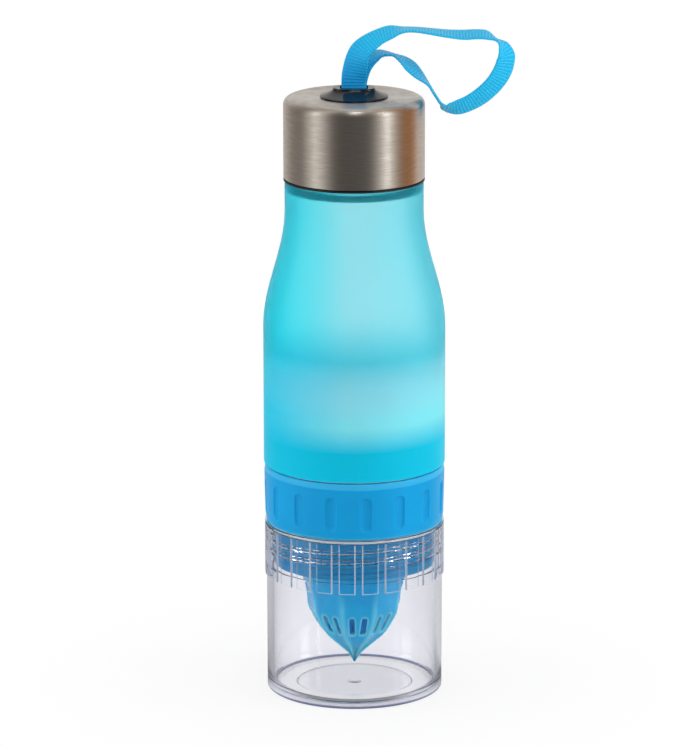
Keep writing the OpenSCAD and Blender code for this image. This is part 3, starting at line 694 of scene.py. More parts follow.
def brushed_steel(cap):
    """Steel brushed round the axis: short fine scratches, and reflections stretched across them."""
    finish = Finish("brushed_steel", cap.steel, cap.gloss, {
        "Metallic": 1.0, "Anisotropic": 0.75, "Anisotropic Rotation": 0.25})
    tangent = finish.add("ShaderNodeTangent", direction_type="RADIAL", axis="Z")
    finish.feed(finish.shader, "Tangent", tangent.outputs[0])
    fine = finish.noise(1.0, stretch=(220, 220, 5000))
    coarse = finish.noise(1.0, stretch=(140, 140, 2600))
    scratches = finish.span(finish.math("ADD", fine, coarse), 0.65, 1.35)
    finish.colour(finish.blend(scratches, shade(cap.steel, 0.84), shade(cap.steel, 1.14)))
    finish.rough(finish.span(scratches, 0.0, 1.0, cap.gloss + 0.05, cap.gloss - 0.05))
    finish.bump(fine, 0.000003)
    return finish.material


def satin_black(cap):
    """Black moulded plastic with a fine satin grain."""
    finish = Finish("satin_black", cap.lining, 0.42)
    finish.bump(finish.noise(2200), 0.000015)
    finish.rough(finish.grain(600, 2, 0.36, 0.5))
    return finish.material


def gloss_black(boss):
    """Polished black plastic with faint waves in its surface."""
    finish = Finish("gloss_black", boss.tint, boss.gloss, {
        "Coat Weight": 0.15, "Coat Roughness": 0.05, "Specular IOR Level": 0.4})
    finish.bump(finish.noise(180), 0.00003)
    finish.rough(finish.span(finish.noise(800, 3), 0.35, 0.75, boss.gloss * 0.7, boss.gloss * 1.6))
    return finish.material


def silicone():
    """Milky silicone of the seal rings."""
    finish = Finish("silicone", (0.8, 0.83, 0.84), 0.45, {
        "Subsurface Weight": 0.4, "Subsurface Scale": 0.002, "Subsurface Radius": (1.0, 1.0, 1.0)})
    finish.bump(finish.noise(1800), 0.00001)
    return finish.material


def drawn_steel():
    """Plain drawn steel of the strap's cross pin."""
    finish = Finish("drawn_steel", (0.58, 0.57, 0.55), 0.3, {"Metallic": 1.0})
    finish.rough(finish.span(finish.noise(1.0, stretch=(200, 6000, 6000)), *NOISE_RANGE, 0.24, 0.38))
    return finish.material


def webbing(strap):
    """Ribbed woven nylon, with painted highlights on the ribs' crests and a darker blue near the boss. The UV
    map gives metres along the strap and across it, and the ribs and yarns are cosines of them."""
    yarn_pitch = 0.0008
    yarn_share = 0.35
    deep_end = 0.012
    deep_fade = 0.03
    finish = Finish("webbing", strap.tint, 0.4, {
        "Sheen Weight": 0.03, "Sheen Roughness": 0.35, "Specular IOR Level": 0.3})
    place = finish.axes(finish.uv)
    rib = finish.math("COSINE", finish.math("MULTIPLY", place["X"], TURN / strap.rib_pitch))
    yarn = finish.math("COSINE", finish.math("MULTIPLY", place["Y"], TURN / yarn_pitch))
    fibre = finish.noise(1.0, stretch=(500, 2500, 1), source=finish.uv)
    # Painted highlight on the ribs' crests, broken up by the fibres
    level = finish.math("MULTIPLY", finish.span(rib, -1.0, 1.0), fibre)
    yarn_and_highlight = finish.blend(finish.span(level, 0.1, 0.75), strap.tint, strap.pale)
    # Darker blue over the strap's first 12 to 30 mm from the pin, up through the slot
    finish.colour(finish.blend(finish.span(place["X"], deep_fade, deep_end), yarn_and_highlight, strap.deep))
    finish.bump(finish.math("MULTIPLY_ADD", yarn, yarn_share, fibre), 0.00003)
    finish.rough(finish.span(fibre, *NOISE_RANGE, 0.34, 0.5))
    return finish.material


def cup_columns(cup):
    """Angles of the cup's grid: both ends of each groove's two steps, and even steps between them."""
    cell = TURN / cup.pad_count
    half = cup.groove_w / 2 / PAD_R
    step = STEP_W / PAD_R
    groove = np.linspace(-half, half, 4)
    pad = np.linspace(half + step, cell - half - step, 8)
    starts = FIRST_GROOVE + cell * np.arange(cup.pad_count)
    return (starts[:, None] + np.concatenate([groove, pad])[None, :]).ravel()


def pad_distance(cup, angles):
    """Distance round the cup from the middle of the nearest groove."""
    cell = TURN / cup.pad_count
    return np.abs((angles - FIRST_GROOVE + cell / 2) % cell - cell / 2) * PAD_R


def cup_wall_rise(cup, angles, z):
    """How far pads and rim stand out from the cup's wall: one on each pad and all over the rim, with steep
    steps at their edges."""
    pad = ramp(pad_distance(cup, angles), cup.groove_w / 2, cup.groove_w / 2 + STEP_W)[None, :]
    over_foot = ramp(z, CUP_TOP - cup.pad_band, CUP_TOP - cup.pad_band + STEP_W)
    in_rim = ramp(z, CUP_TOP - cup.pad_rim - STEP_W, CUP_TOP - cup.pad_rim)
    return cup.groove_depth * np.maximum(pad * over_foot, in_rim)


def build_cup():
    """The clear cup: its section turned as one closed skin, with pads outside and thread ridges inside."""
    cup = bpy.context.scene.bottle_cup
    wall_r = PAD_R - cup.groove_depth
    foot_r = wall_r - cup.draft
    bore_r = wall_r - cup.thread_wall
    inner_r = wall_r - cup.wall
    pad_z = CUP_TOP - cup.pad_band
    rim_z = CUP_TOP - cup.pad_rim
    rebate_r = bore_r + REBATE
    rebate_z = CUP_TOP - REBATE
    bore_top = rebate_z - 2 * EDGE
    skirt_gap = 0.0009
    step_z = SKIRT_FOOT - skirt_gap
    bore_foot = step_z + 2 * EDGE
    gate_r = 0.0023
    floor_corner = 0.004
    plain_step = 0.0025
    thread_step = 0.00032
    half_hollow = cup.hollow_depth / 2
    under = rounded([
        (0, half_hollow, 0), (gate_r, half_hollow, FINE), (gate_r, cup.hollow_depth, FINE),
        (cup.hollow_r, cup.hollow_depth, EDGE), (cup.hollow_r + SOFT, 0, EDGE),
        (foot_r, 0, cup.foot_round), (wall_r, pad_z, 0)])
    band = np.array([(wall_r, z) for z in (
        pad_z, pad_z + STEP_W, (pad_z + rim_z) / 2, rim_z - STEP_W, rim_z)])
    rim = rounded([
        (wall_r, rim_z, 0), (wall_r, CUP_TOP, SOFT), (rebate_r, CUP_TOP, EDGE), (rebate_r, rebate_z, FINE),
        (bore_r, rebate_z, EDGE), (bore_r, bore_top, 0)])
    bore = np.array([(bore_r, bore_top), (bore_r, bore_foot)])
    inside = rounded([
        (bore_r, bore_foot, 0), (bore_r, step_z, EDGE), (inner_r, step_z, SOFT),
        (inner_r, cup.floor, floor_corner), (0, cup.floor, 0)])
    line = np.concatenate([refined(under, plain_step), band[1:-1], rim, refined(bore, thread_step)[1:-1],
                           refined(inside, plain_step)])
    angles = cup_columns(cup)
    z = line[:, 1:]
    outside = (line[:, :1] > (wall_r + rebate_r) / 2) & (z > pad_z - STEP_W)
    rise = np.where(outside, cup_wall_rise(cup, angles, z), 0)
    in_bore = np.abs(line[:, :1] - bore_r) < SAME
    ridges = ridge_rise(angles, z, SKIRT_FOOT + RIDGE_START + PITCH, SOCKET_TURNS, LOW_PHASE + TURN / 4)
    rise = rise - np.where(in_bore, RIDGE_H * ridges, 0)
    points = turned(line, angles, rise)
    from_edge = pad_distance(cup, angles) - cup.groove_w / 2
    uv = np.stack(np.broadcast_arrays(from_edge[None, :], z), -1)
    piece = make_piece("clear_cup", [(points, False, True)], clear_plastic(cup), uv=uv)
    settle(piece, "cup", "juice_cup")


def flute_rise(collar, angles, z):
    """Depth of the flutes under each point of the band: a round hollow inside a pill-shaped outline."""
    cell = TURN / collar.flute_count
    below_middle = 0.00115
    x = ((angles - FIRST_FLUTE + cell / 2) % cell - cell / 2)[None, :] * BAND_R
    middle = (BAND_FOOT + BAND_TOP) / 2 - below_middle
    reach = (collar.flute_h - collar.flute_w) / 2
    up = np.maximum(np.abs(z - middle) - reach, 0)
    away = np.hypot(x, up) / (collar.flute_w / 2)
    return -collar.flute_depth * np.sqrt(np.clip(1 - away**2, 0, 1)) ** 0.9


def build_collar():
    """The collar: its band with finger flutes, both skirts with their ridges, and the ledge for the press."""
    collar = bpy.context.scene.bottle_collar
    cup = bpy.context.scene.bottle_cup
    low_root = PAD_R - cup.groove_depth - cup.thread_wall - THREAD_GAP - RIDGE_H
    high_root = BODY_R - bpy.context.scene.bottle_body.thread_wall - THREAD_GAP - RIDGE_H
    low_bore = low_root - collar.skirt_wall
    high_bore = high_root - collar.skirt_wall
    low_r = BAND_R - collar.taper
    relief_r = low_r - collar.band_wall
    ledge_w = 0.0024
    ledge_r = low_bore - ledge_w
    ledge_z = PRESS_TOP + FLANGE_H
    draft_h = 0.003
    rim_z = BAND_TOP - RIM_H
    rim_r = BAND_R - EDGE
    flute_step = 0.00035
    plain_step = 0.003
    band = rounded([
        (low_root, BAND_FOOT, 0), (low_r - 2 * EDGE, BAND_FOOT, 2 * EDGE), (low_r, BAND_FOOT + draft_h, WIDE),
        (BAND_R, rim_z - RIM_H, ROUND), (BAND_R, rim_z, 0.6 * EDGE), (rim_r, rim_z, 0.4 * EDGE),
        (rim_r, BAND_TOP, BLUNT), (high_root, BAND_TOP, 0)])
    rest = rounded([
        (high_root, BAND_TOP, 0), (high_root, SKIRT_TOP, SOFT), (high_bore, SKIRT_TOP, SOFT),
        (high_bore, BAND_TOP - collar.web, SOFT), (relief_r, BAND_TOP - 2 * collar.web, SOFT),
        (relief_r, BAND_FOOT + 2 * collar.web, SOFT), (low_bore, BAND_FOOT + collar.web, SOFT),
        (low_bore, ledge_z, EDGE), (ledge_r, ledge_z, EDGE), (ledge_r, PRESS_TOP, FINE),
        (low_bore, PRESS_TOP, FINE), (low_bore, SKIRT_FOOT, SOFT), (low_root, SKIRT_FOOT, SOFT),
        (low_root, BAND_FOOT, 0)])
    line = np.concatenate([refined(band, flute_step)[:-1], refined(rest, plain_step)[:-1]])
    cell = TURN / collar.flute_count
    half = collar.flute_w / 2 / BAND_R
    inside = half * np.sin(np.linspace(-math.pi / 2, math.pi / 2, 17))
    beside = np.linspace(half, cell - half, 8)[1:-1]
    middles = FIRST_FLUTE + cell * np.arange(collar.flute_count)
    angles = (middles[:, None] + np.concatenate([inside, beside])[None, :]).ravel()
    z = line[:, 1:]
    on_band = (line[:, :1] > (relief_r + low_r) / 2) & (z > BAND_FOOT) & (z < BAND_TOP)
    rise = np.where(on_band, flute_rise(collar, angles, z), 0)
    grids = [(turned(line, angles, rise), True, True)]
    grids += screw_ridges(low_root, SKIRT_FOOT + RIDGE_START, LOW_PHASE)
    grids += screw_ridges(high_root, SKIRT_TOP - RIDGE_START - LEAD * RIDGE_TURNS, HIGH_PHASE)
    piece = make_piece("threaded_collar", grids, collar_plastic(collar))
    settle(piece, "collar", "grip_collar")


def painted_press_glow(press, local, z, radius, slot_z, slot_at):
    """How much painted light, highlight and glow, the press shows at each point, from 0 to 1: 1 on a rib's
    crest and at a slot's edge, fading to 0 over the widths rib_glow and slot_glow, and gone high up. The
    distance to a slot's edge is that to a pill: the distance from its middle line less half its width."""
    cell = TURN / press.rib_count
    rib_glow = 0.0019
    slot_glow = 0.0011
    glow_share = 0.8
    point_h = 0.004
    lit_h = 0.024
    dark_h = 0.036
    from_rib = np.minimum(local, cell - local) * radius
    past = np.maximum(np.abs(z - slot_z) - (press.slot_h - press.slot_w) / 2, 0)
    left, right = ((local - cell / 2 - side * slot_at) * radius for side in (-1, 1))
    from_slot = np.minimum(np.hypot(left, past), np.hypot(right, past))
    rib = ease(ramp(-from_rib, -rib_glow, 0)) * ease(ramp(z, PRESS_TIP, PRESS_TIP + point_h))
    slot = ease(ramp(press.slot_w / 2 - from_slot, -slot_glow, 0))
    return np.maximum(glow_share * rib, slot) * ease(ramp(-z, -PRESS_TIP - dark_h, -PRESS_TIP - lit_h))


def build_press():
    """The citrus press: a ribbed pointed dome with open drain slots, given its wall by a modifier."""
    press = bpy.context.scene.bottle_press
    height = PRESS_TOP - PRESS_TIP
    crests = spline(PRESS_SHARES, 14)
    crest = np.column_stack([crests[:, 0] * press.full_r, PRESS_TIP + crests[:, 1] * height])
    flange_z = PRESS_TOP - FLANGE_H
    flange = rounded([(*crest[-1], 0), (crest[-1, 0] + SOFT, flange_z, EDGE), (FLANGE_R, flange_z, 0)])
    line = np.concatenate([crest[:-1], flange])
    cell = TURN / press.rib_count
    slot_share = 0.405
    slot_z = PRESS_TIP + slot_share * height
    slot_at = math.radians(8.5)
    least_w = 0.00012
    least_r = 0.004
    fade_h = 0.006
    rib_share = 0.3
    first = FRONT + math.radians(5 + 180 / press.rib_count)
    half_w = press.slot_w / 2
    straight = (press.slot_h - press.slot_w) / 2
    radius, z = line.T
    past = np.maximum(np.abs(z - slot_z) - straight, 0)
    open_w = np.sqrt(np.clip(half_w**2 - past**2, 0, None))
    inside_slot = past < half_w
    width = np.maximum(open_w, least_w) / np.maximum(radius, least_r)
    left = cell / 2 - slot_at
    right = cell / 2 + slot_at
    knots = np.stack([
        0 * z, 0 * z + cell * 0.1, left - width, left + width, right - width, right + width,
        0 * z + cell * 0.9, 0 * z + cell], 1)
    counts = [6, 5, 1, 7, 1, 5, 6]
    column_at = np.concatenate([k + np.arange(n) / n for k, n in enumerate(counts)])
    low = column_at.astype(int)
    part = column_at - low
    inner = knots[:, low] * (1 - part) + knots[:, low + 1] * part
    local = np.tile(inner, (1, press.rib_count))
    panel = np.repeat(np.arange(press.rib_count), len(column_at))
    angles = first + panel[None, :] * cell + local
    depth = np.minimum(press.rib_h, radius * rib_share)[:, None]
    fade = ease(ramp(z, flange_z, PRESS_TOP - fade_h))[:, None]
    ridge = np.abs(np.cos(math.pi * local / cell)) ** 6
    r = radius[:, None] - depth * fade * (1 - ridge)
    points = np.stack([r * np.cos(angles), r * np.sin(angles), np.broadcast_to(z[:, None], r.shape)], -1)
    column = np.tile(low, press.rib_count)
    slot_column = (column == 2) | (column == 4)
    both = inside_slot[:-1] & inside_slot[1:]
    dropped = both[:, None] & slot_column[None, :]
    lit = painted_press_glow(press, local, z[:, None], radius[:, None], slot_z, slot_at)
    uv = np.stack(np.broadcast_arrays(lit, z[:, None]), -1)
    piece = make_piece("citrus_press", [(points, False, True)], press_plastic(press), dropped=dropped, uv=uv,
                       recalc=False)
    co = np.empty(3 * len(piece.data.vertices), np.float32)
    piece.data.vertices.foreach_get("co", co)
    out = np.hypot(co[0::3], co[1::3])
    group = piece.vertex_groups.new(name="wall")
    steps = 24
    level = np.clip(np.ceil(out / WALL_FULL_R * steps), 1, steps).astype(int)
    for k in range(1, steps + 1):
        group.add(np.nonzero(level == k)[0].tolist(), k / steps, "REPLACE")
    wall = piece.modifiers.new("wall", "SOLIDIFY")
    wall.vertex_group = group.name
    wall.thickness = press.wall
    wall.offset = -1
    wall.use_even_offset = False
    settle(piece, "collar", "reamer")


def build_body():
    """The frosted bottle: barrel, half-wave shoulder and neck, with ridges in its foot and on its mouth."""
    body = bpy.context.scene.bottle_body
    bore_r = BODY_R - body.thread_wall
    barrel_bore = BODY_R - body.wall
    rebate_r = bore_r + REBATE
    barrel_top = BODY_FOOT + body.barrel_h
    neck_z = barrel_top + body.shoulder_h
    neck_top = neck_z + body.neck_h
    steel_t = bpy.context.scene.bottle_cap.steel_t
    mouth_r = CAP_R - steel_t - LINING_GAP - LINING_WALL - THREAD_GAP - RIDGE_H
    mouth_bore = mouth_r - body.mouth_wall
    screw_foot = neck_top + 0.001
    screw_top = MOUTH_TOP - 0.0007
    inner_neck_r = body.neck_r - body.wall
    socket_top = BODY_FOOT + 0.0159
    rebate_z = BODY_FOOT + REBATE
    plain_step = 0.003
    thread_step = 0.0004
    climb = np.linspace(0, 1, 49)
    wave = body.neck_r + (BODY_R - body.neck_r) * (1 + np.cos(math.pi * climb)) / 2
    shoulder = np.stack([wave, barrel_top + climb * body.shoulder_h], 1)
    foot = rounded([(rebate_r + EDGE, BODY_FOOT, 0), (BODY_R, BODY_FOOT, BLUNT), (BODY_R, barrel_top, 0)])
    neck = rounded([(body.neck_r, neck_z, 0), (body.neck_r, neck_top, ROUND), (mouth_r, neck_top, SOFT),
                    (mouth_r, screw_foot, 0)])
    screw = np.array([(mouth_r, screw_foot), (mouth_r, screw_top)])
    mouth = rounded([
        (mouth_r, screw_top, 0), (mouth_r, MOUTH_TOP, ROUND), (mouth_bore, MOUTH_TOP, ROUND),
        (mouth_bore, neck_top - body.wall, WIDE), (inner_neck_r, neck_top - 2 * body.wall, WIDE),
        (inner_neck_r, neck_z, 0)])
    lower = np.array([(barrel_bore, barrel_top), (barrel_bore, socket_top + body.wall), (bore_r, socket_top)])
    socket = np.array([(bore_r, socket_top), (bore_r, rebate_z + SOFT)])
    edge = rounded([(bore_r, rebate_z + SOFT, 0), (bore_r, rebate_z, EDGE), (rebate_r, rebate_z, FINE),
                    (rebate_r, BODY_FOOT, FINE), (rebate_r + EDGE, BODY_FOOT, 0)])
    inner_shoulder = shoulder[::-1] - (body.wall, 0)
    line = np.concatenate([
        refined(foot, plain_step)[:-1], shoulder, refined(neck, 0.002)[1:-1], refined(screw, thread_step),
        refined(mouth, plain_step)[1:-1], inner_shoulder, refined(lower, 0.004)[1:-1],
        refined(socket, thread_step), edge[1:-1]])
    angles = circle(192)
    z = line[:, 1:]
    on_mouth = np.abs(line[:, :1] - mouth_r) < SAME
    in_foot = np.abs(line[:, :1] - bore_r) < SAME
    mouth_start = MOUTH_TOP - RIDGE_START - LEAD * RIDGE_TURNS
    mouth_ridges = ridge_rise(angles, z, mouth_start, RIDGE_TURNS, HIGH_PHASE)
    foot_start = SKIRT_TOP - RIDGE_START - LEAD * RIDGE_TURNS + LEAD / 4
    foot_ridges = ridge_rise(angles, z, foot_start, SOCKET_TURNS, HIGH_PHASE)
    rise = RIDGE_H * (np.where(on_mouth, mouth_ridges, 0) - np.where(in_foot, foot_ridges, 0))
    piece = make_piece("frosted_bottle", [(turned(line, angles, rise), True, True)], frosted_plastic(body))
    settle(piece, "bottle", "bottle_body")


def build_cap():
    """The steel shell, turned with a rounded top edge; the plastic lining keeps its CAD shape."""
    cap = bpy.context.scene.bottle_cap
    quarter = np.linspace(0, math.pi / 2, 13)
    inner_round = cap.edge_round - cap.steel_t
    centre = np.array([CAP_R - cap.edge_round, CAP_TOP - cap.edge_round])
    curve = np.stack([np.cos(quarter), np.sin(quarter)], 1)
    foot_z = SHELL_FOOT + cap.lip_gap
    bore_r = CAP_R - cap.steel_t
    under_z = CAP_TOP - cap.steel_t
    reach = 0.002
    foot = rounded([(bore_r, foot_z + reach, 0), (bore_r, foot_z, FINE), (CAP_R, foot_z, EDGE),
                    (CAP_R, foot_z + reach, 0)])
    hole = rounded([(cap.hole_r + reach, CAP_TOP, 0), (cap.hole_r, CAP_TOP, EDGE),
                    (cap.hole_r, under_z, FINE), (cap.hole_r + reach, under_z, 0)])
    line = np.concatenate([foot, centre + cap.edge_round * curve, hole, centre + inner_round * curve[::-1],
                           foot[:1]])
    line = refined(line, 0.0012)[:-1]
    piece = make_piece("steel_shell", [(turned(line, circle(192)), True, True)], brushed_steel(cap))
    settle(piece, "cap", "cap_shell")


def oval(half_l, half_w, power, angles):
    """Superellipse |x/l|^p + |y/w|^p = 1, one point for each angle."""
    c, s = np.cos(angles), np.sin(angles)
    return np.stack([half_l * np.sign(c) * np.abs(c) ** (2 / power),
                     half_w * np.sign(s) * np.abs(s) ** (2 / power)], -1)


def build_boss():
    """The boss: a round foot that flares in to an oval top, with the strap's slot down through its stem."""
    boss = bpy.context.scene.bottle_boss
    angles = circle(144)[None, :]
    foot_z = CAP_TOP + FINE
    edge_z = foot_z + boss.edge_h
    rise = np.linspace(0, 1, 17)[:, None]
    flare_power = 1.7
    part = (1 - rise) ** flare_power
    top_round = BLUNT
    slot_round = SOFT
    round_power = 2
    top_power = 2.8
    slot_power = 9
    half_l = boss.top_l / 2 + (BOSS_R - boss.top_l / 2) * part
    half_w = boss.top_w / 2 + (BOSS_R - boss.top_w / 2) * part
    turn = np.linspace(0, math.pi / 2, 6)[1:, None]

    def ring(inset, z, long, wide, power):
        """Level rings whose size shrinks by inset."""
        flat = oval(long / 2 - inset, wide / 2 - inset, power, angles)
        level = np.broadcast_to(np.reshape(z, (-1, 1, 1)), (len(flat), angles.size, 1))
        return np.concatenate([flat, level], -1)

    flare = ring(0, edge_z + (BOSS_TOP - top_round - edge_z) * rise, 2 * half_l, 2 * half_w,
                 top_power + (round_power - top_power) * part)
    top_edge = ring(top_round * (1 - np.cos(turn)), BOSS_TOP - top_round * (1 - np.sin(turn)),
                    boss.top_l, boss.top_w, top_power)
    slot_edge = ring(-slot_round * (1 - np.sin(turn)), BOSS_TOP - slot_round * (1 - np.cos(turn)),
                     boss.slot_l, boss.slot_w, slot_power)
    slot_wall = ring(np.zeros((2, 1)), [(BOSS_TOP + STEM_FOOT) / 2, STEM_FOOT],
                     boss.slot_l, boss.slot_w, slot_power)
    stem = ring(np.zeros((3, 1)), [STEM_FOOT, STEM_FOOT + 0.002, foot_z],
                2 * boss.stem_r, 2 * boss.stem_r, round_power)
    edge = ring(np.array([[2 * EDGE], [FINE], [0]]), [foot_z, foot_z, foot_z + EDGE],
                2 * BOSS_R, 2 * BOSS_R, round_power)
    points = np.concatenate([stem, edge, flare, top_edge, slot_edge, slot_wall])
    piece = make_piece("strap_mount", [(points, True, True)], gloss_black(boss))
    settle(piece, "cap", "strap_boss")


def strap_path(strap):
    """Centre points of the strap's closed ring, even steps apart, and the direction of its width at each."""
    turn = np.linspace(0, math.pi, 13)[:, None]
    wrap = WRAP_R * np.concatenate([0 * turn, np.cos(turn), -np.sin(turn)], 1)
    wrap_lay = np.tile([[-1.0, 0, 0]], (len(wrap), 1))
    centres = np.concatenate([wrap[6:], spline(STRAP_ROUTE, 8), wrap[:7]]) + (0, 0, PIN_Z)
    lays = np.concatenate([wrap_lay[6:], spline(STRAP_LAY, 8), wrap_lay[:7]])
    s = np.concatenate([[0], np.cumsum(np.linalg.norm(np.diff(centres, axis=0), axis=1))])
    steps_a_rib = 8
    even = np.linspace(0, s[-1], int(round(s[-1] / strap.rib_pitch)) * steps_a_rib + 1)
    spread = [np.stack([np.interp(even, s, rows[:, k]) for k in range(3)], 1) for rows in (centres, lays)]
    return *spread, even


def build_strap():
    """The woven strap: a flat band carried along its ring. Its thickness swells and shrinks with each woven
    rib, by a cosine of the distance along it, and its edges are rounded and thin."""
    strap = bpy.context.scene.bottle_strap
    centres, lays, along = strap_path(strap)
    way = unit(np.roll(centres[:-1], -1, 0) - np.roll(centres[:-1], 1, 0))
    lay = lays[:-1]
    across = unit(lay - (lay * way).sum(1, keepdims=True) * way)
    normal = np.cross(way, across)
    columns = 15
    edge_share = 0.3
    flat_share = 0.6
    flat = np.linspace(-1, 1, columns)
    side = np.concatenate([flat, flat[::-1]])
    half = strap.width / 2 * side
    body = edge_share + (1 - edge_share) * (1 - np.abs(side) ** 8) ** 0.5
    selvage = ramp(np.abs(side), 0.8, 0.95)
    rib = (1 + np.cos(TURN * along[:-1] / strap.rib_pitch))[:, None] / 2
    groove = strap.rib_depth * (1 - rib) * (1 - flat_share * selvage[None, :])
    thick = strap.thick / 2 * body[None, :] - groove
    up = np.repeat([1, -1], columns)[None, :] * thick
    points = centres[:-1, None] + across[:, None] * half[None, :, None] + normal[:, None] * up[..., None]
    uv = np.stack(np.broadcast_arrays(along[:-1, None], half[None, :]), -1)
    piece = make_piece("woven_strap", [(points, True, True)], webbing(strap), uv=uv, sharp=0)
    settle(piece, "strap_loop", "strap")


def finish_cad_pieces():
    """The pieces whose CAD shape is right keep it, with a finish of their own."""
    cap = bpy.context.scene.bottle_cap
    rings = silicone()
    finishes = {"cap_liner": satin_black(cap), "strap_pin": drawn_steel(),
                "lower_gasket": rings, "upper_gasket": rings, "cap_gasket": rings}
    for node, material in finishes.items():
        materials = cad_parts[node].data.materials
        materials.clear()
        materials.append(material)


def build_camera():
    """The camera at the photograph's place and tilt."""
    data = bpy.data.cameras.new("photo_camera")
    data.lens = CAMERA_LENS
    data.clip_end = 50
    camera = bpy.data.objects.new("photo_camera", data)
    camera.location = CAMERA_PLACE
    camera.rotation_euler = (
        math.pi / 2 - CAMERA_TILT, CAMERA_ROLL * math.cos(CAMERA_TILT), -CAMERA_ROLL * math.sin(CAMERA_TILT))
    bpy.context.scene.collection.objects.link(camera)
    bpy.context.scene.camera = camera


def build_lamp(name, place, wide, high, level, mirrored=True):
    """A flat lamp that looks at the bottle's middle, and that gloss may show or not. Its power is its
    brightness times pi times its area."""
    data = bpy.data.lights.new(name, "AREA")
    data.shape = "RECTANGLE"
    data.size = wide
    data.size_y = high
    data.energy = level * math.pi * wide * high
    lamp = bpy.data.objects.new(name, data)
    lamp.visible_glossy = mirrored
    lamp.location = place
    lamp.rotation_euler = (LAMP_AIM - lamp.location).to_track_quat("-Z", "Y").to_euler()
    bpy.context.scene.collection.objects.link(lamp)


def studio_ring(tree, x, y):
    """Colour that gloss shows of the studio in the direction (x, y): the turn from the front, atan2(x, -y),
    looked up in the ring."""
    turn = tree.math("ARCTAN2", x, tree.math("MULTIPLY", y, -1.0))
    ring = tree.add("ShaderNodeValToRGB", {"Fac": tree.math("MULTIPLY_ADD", turn, 1 / TURN, 0.5)})
    stops = ring.color_ramp.elements
    for degrees, tint in STUDIO_RING[1:-1]:
        stops.new(degrees / 360 + 0.5)
    for stop, (degrees, tint) in zip(stops, STUDIO_RING):
        stop.position = degrees / 360 + 0.5
        stop.color = (*tint, 1)
    return ring.outputs["Color"]


def ray_history(tree, stage):
    """What a ray has met, from 0 to 1: whether it is inside or behind clear plastic, whether a surface has
    spread it, and how much of the studio it shows once gloss has turned it: 1, less inner_white inside."""
    rays = tree.add("ShaderNodeLightPath").outputs
    inside, spread, turned_away = (tree.math("GREATER_THAN", rays[kind + " Depth"], 0.5)
                                   for kind in ("Transmission", "Diffuse", "Glossy"))
    kept = tree.math("SUBTRACT", 1.0, tree.math("MULTIPLY", inside, stage.inner_white))
    return rays, inside, spread, tree.math("MULTIPLY", turned_away, kept)


def build_world(stage):
    """The world: background rays see white, and so do rays through clear plastic that go on level and away
    from the camera. Rays that gloss has turned see the ring of the studio. Light that has spread from a
    surface sees one plain level all round, raised by inner_gain inside clear pieces."""
    world = bpy.data.worlds.new("studio")
    world.use_nodes = True
    bpy.context.scene.world = world
    tree = Nodes(world.node_tree)
    rays, inside, spread, mirrored = ray_history(tree, stage)
    side_y = -0.2
    back_y = 0.6
    level_z = 0.5
    steep_z = 0.85
    way = tree.axes(tree.add("ShaderNodeTexCoord").outputs["Generated"])
    back = tree.span(way["Y"], side_y, back_y, stage.dark_level, 1.0, "SMOOTHSTEP")
    flat = tree.span(tree.math("ABSOLUTE", way["Z"]), level_z, steep_z, 1.0, stage.dark_level, "SMOOTHSTEP")
    straight = tree.math("MAXIMUM", tree.math("MULTIPLY", back, flat), rays["Is Camera Ray"])
    seen = tree.blend(mirrored, straight, studio_ring(tree, way["X"], way["Y"]))
    plain = tree.math("MULTIPLY_ADD", inside, stage.world_level * stage.inner_gain, stage.world_level)
    tree.feed(world.node_tree.nodes["Background"], "Color", tree.blend(spread, seen, plain))


def floor_paint(stage):
    """The floor's finish: pale paint that keeps shadows near the object and is white to the eye further out.
    Gloss shows the ring of the studio in it, as plain grey near the object."""
    shadow_r = 0.03
    white_r = 0.14
    shadow_white = 0.8
    grey_r = 0.35
    ring_r = 0.6
    finish = Finish("floor_paint", stage.floor_tint, 0.9)
    finish.colour(finish.blend(finish.noise(40), shade(stage.floor_tint, 0.985), stage.floor_tint))
    rays, _, spread, mirrored = ray_history(finish, stage)
    place = finish.axes(finish.place)
    distance = finish.radius()
    ring = studio_ring(finish, place["X"], place["Y"])
    grey = finish.add("ShaderNodeRGBToBW", {0: ring}).outputs[0]
    direct = finish.math("MAXIMUM", rays["Is Camera Ray"], rays["Is Transmission Ray"])
    whiteness = finish.math("MULTIPLY", direct, finish.span(distance, shadow_r, white_r, shadow_white))
    unspread = finish.math("MULTIPLY", mirrored, finish.math("SUBTRACT", 1.0, spread))
    surface = finish.shader.outputs[0]
    for factor, glow in ((whiteness, (1, 1, 1)),
                         (unspread, finish.blend(finish.span(distance, grey_r, ring_r), grey, ring))):
        light = finish.add("ShaderNodeEmission", {"Color": glow, "Strength": 1.0})
        surface = finish.add("ShaderNodeMixShader", {0: factor, 1: surface, 2: light.outputs[0]}).outputs[0]
    finish.feed(finish.output, "Surface", surface)
    return finish.material


def build_stage():
    """Pale floor, plain world, two tall strip lamps, two soft fills and a lamp high in front."""
    stage = bpy.context.scene.bottle_stage
    half = stage.floor_size / 2
    side = np.array([-half, half])
    points = np.stack(np.broadcast_arrays(side[:, None], side[None, :], 0.0), -1)
    floor = make_piece("studio_floor", [(points, False, False)], floor_paint(stage), recalc=False)
    floor.data.flip_normals()
    level = stage.lamp_level
    build_lamp("left_strip", (-1.0, -0.46, 0.55), 0.1, 0.9, level / 8)
    build_lamp("right_strip", (0.88, -0.62, 0.55), 0.1, 0.9, level / 3)
    build_lamp("high_lamp", (0.05, -0.75, 1.6), 0.25, 0.2, level)
    build_lamp("left_fill", (-1.2, -0.1, 0.4), 0.4, 0.8, stage.fill_level, mirrored=False)
    build_lamp("right_fill", (1.2, -0.2, 0.4), 0.4, 0.8, stage.fill_level * 1.2, mirrored=False)
    build_world(stage)
    bpy.context.scene.view_settings.view_transform = "Standard"


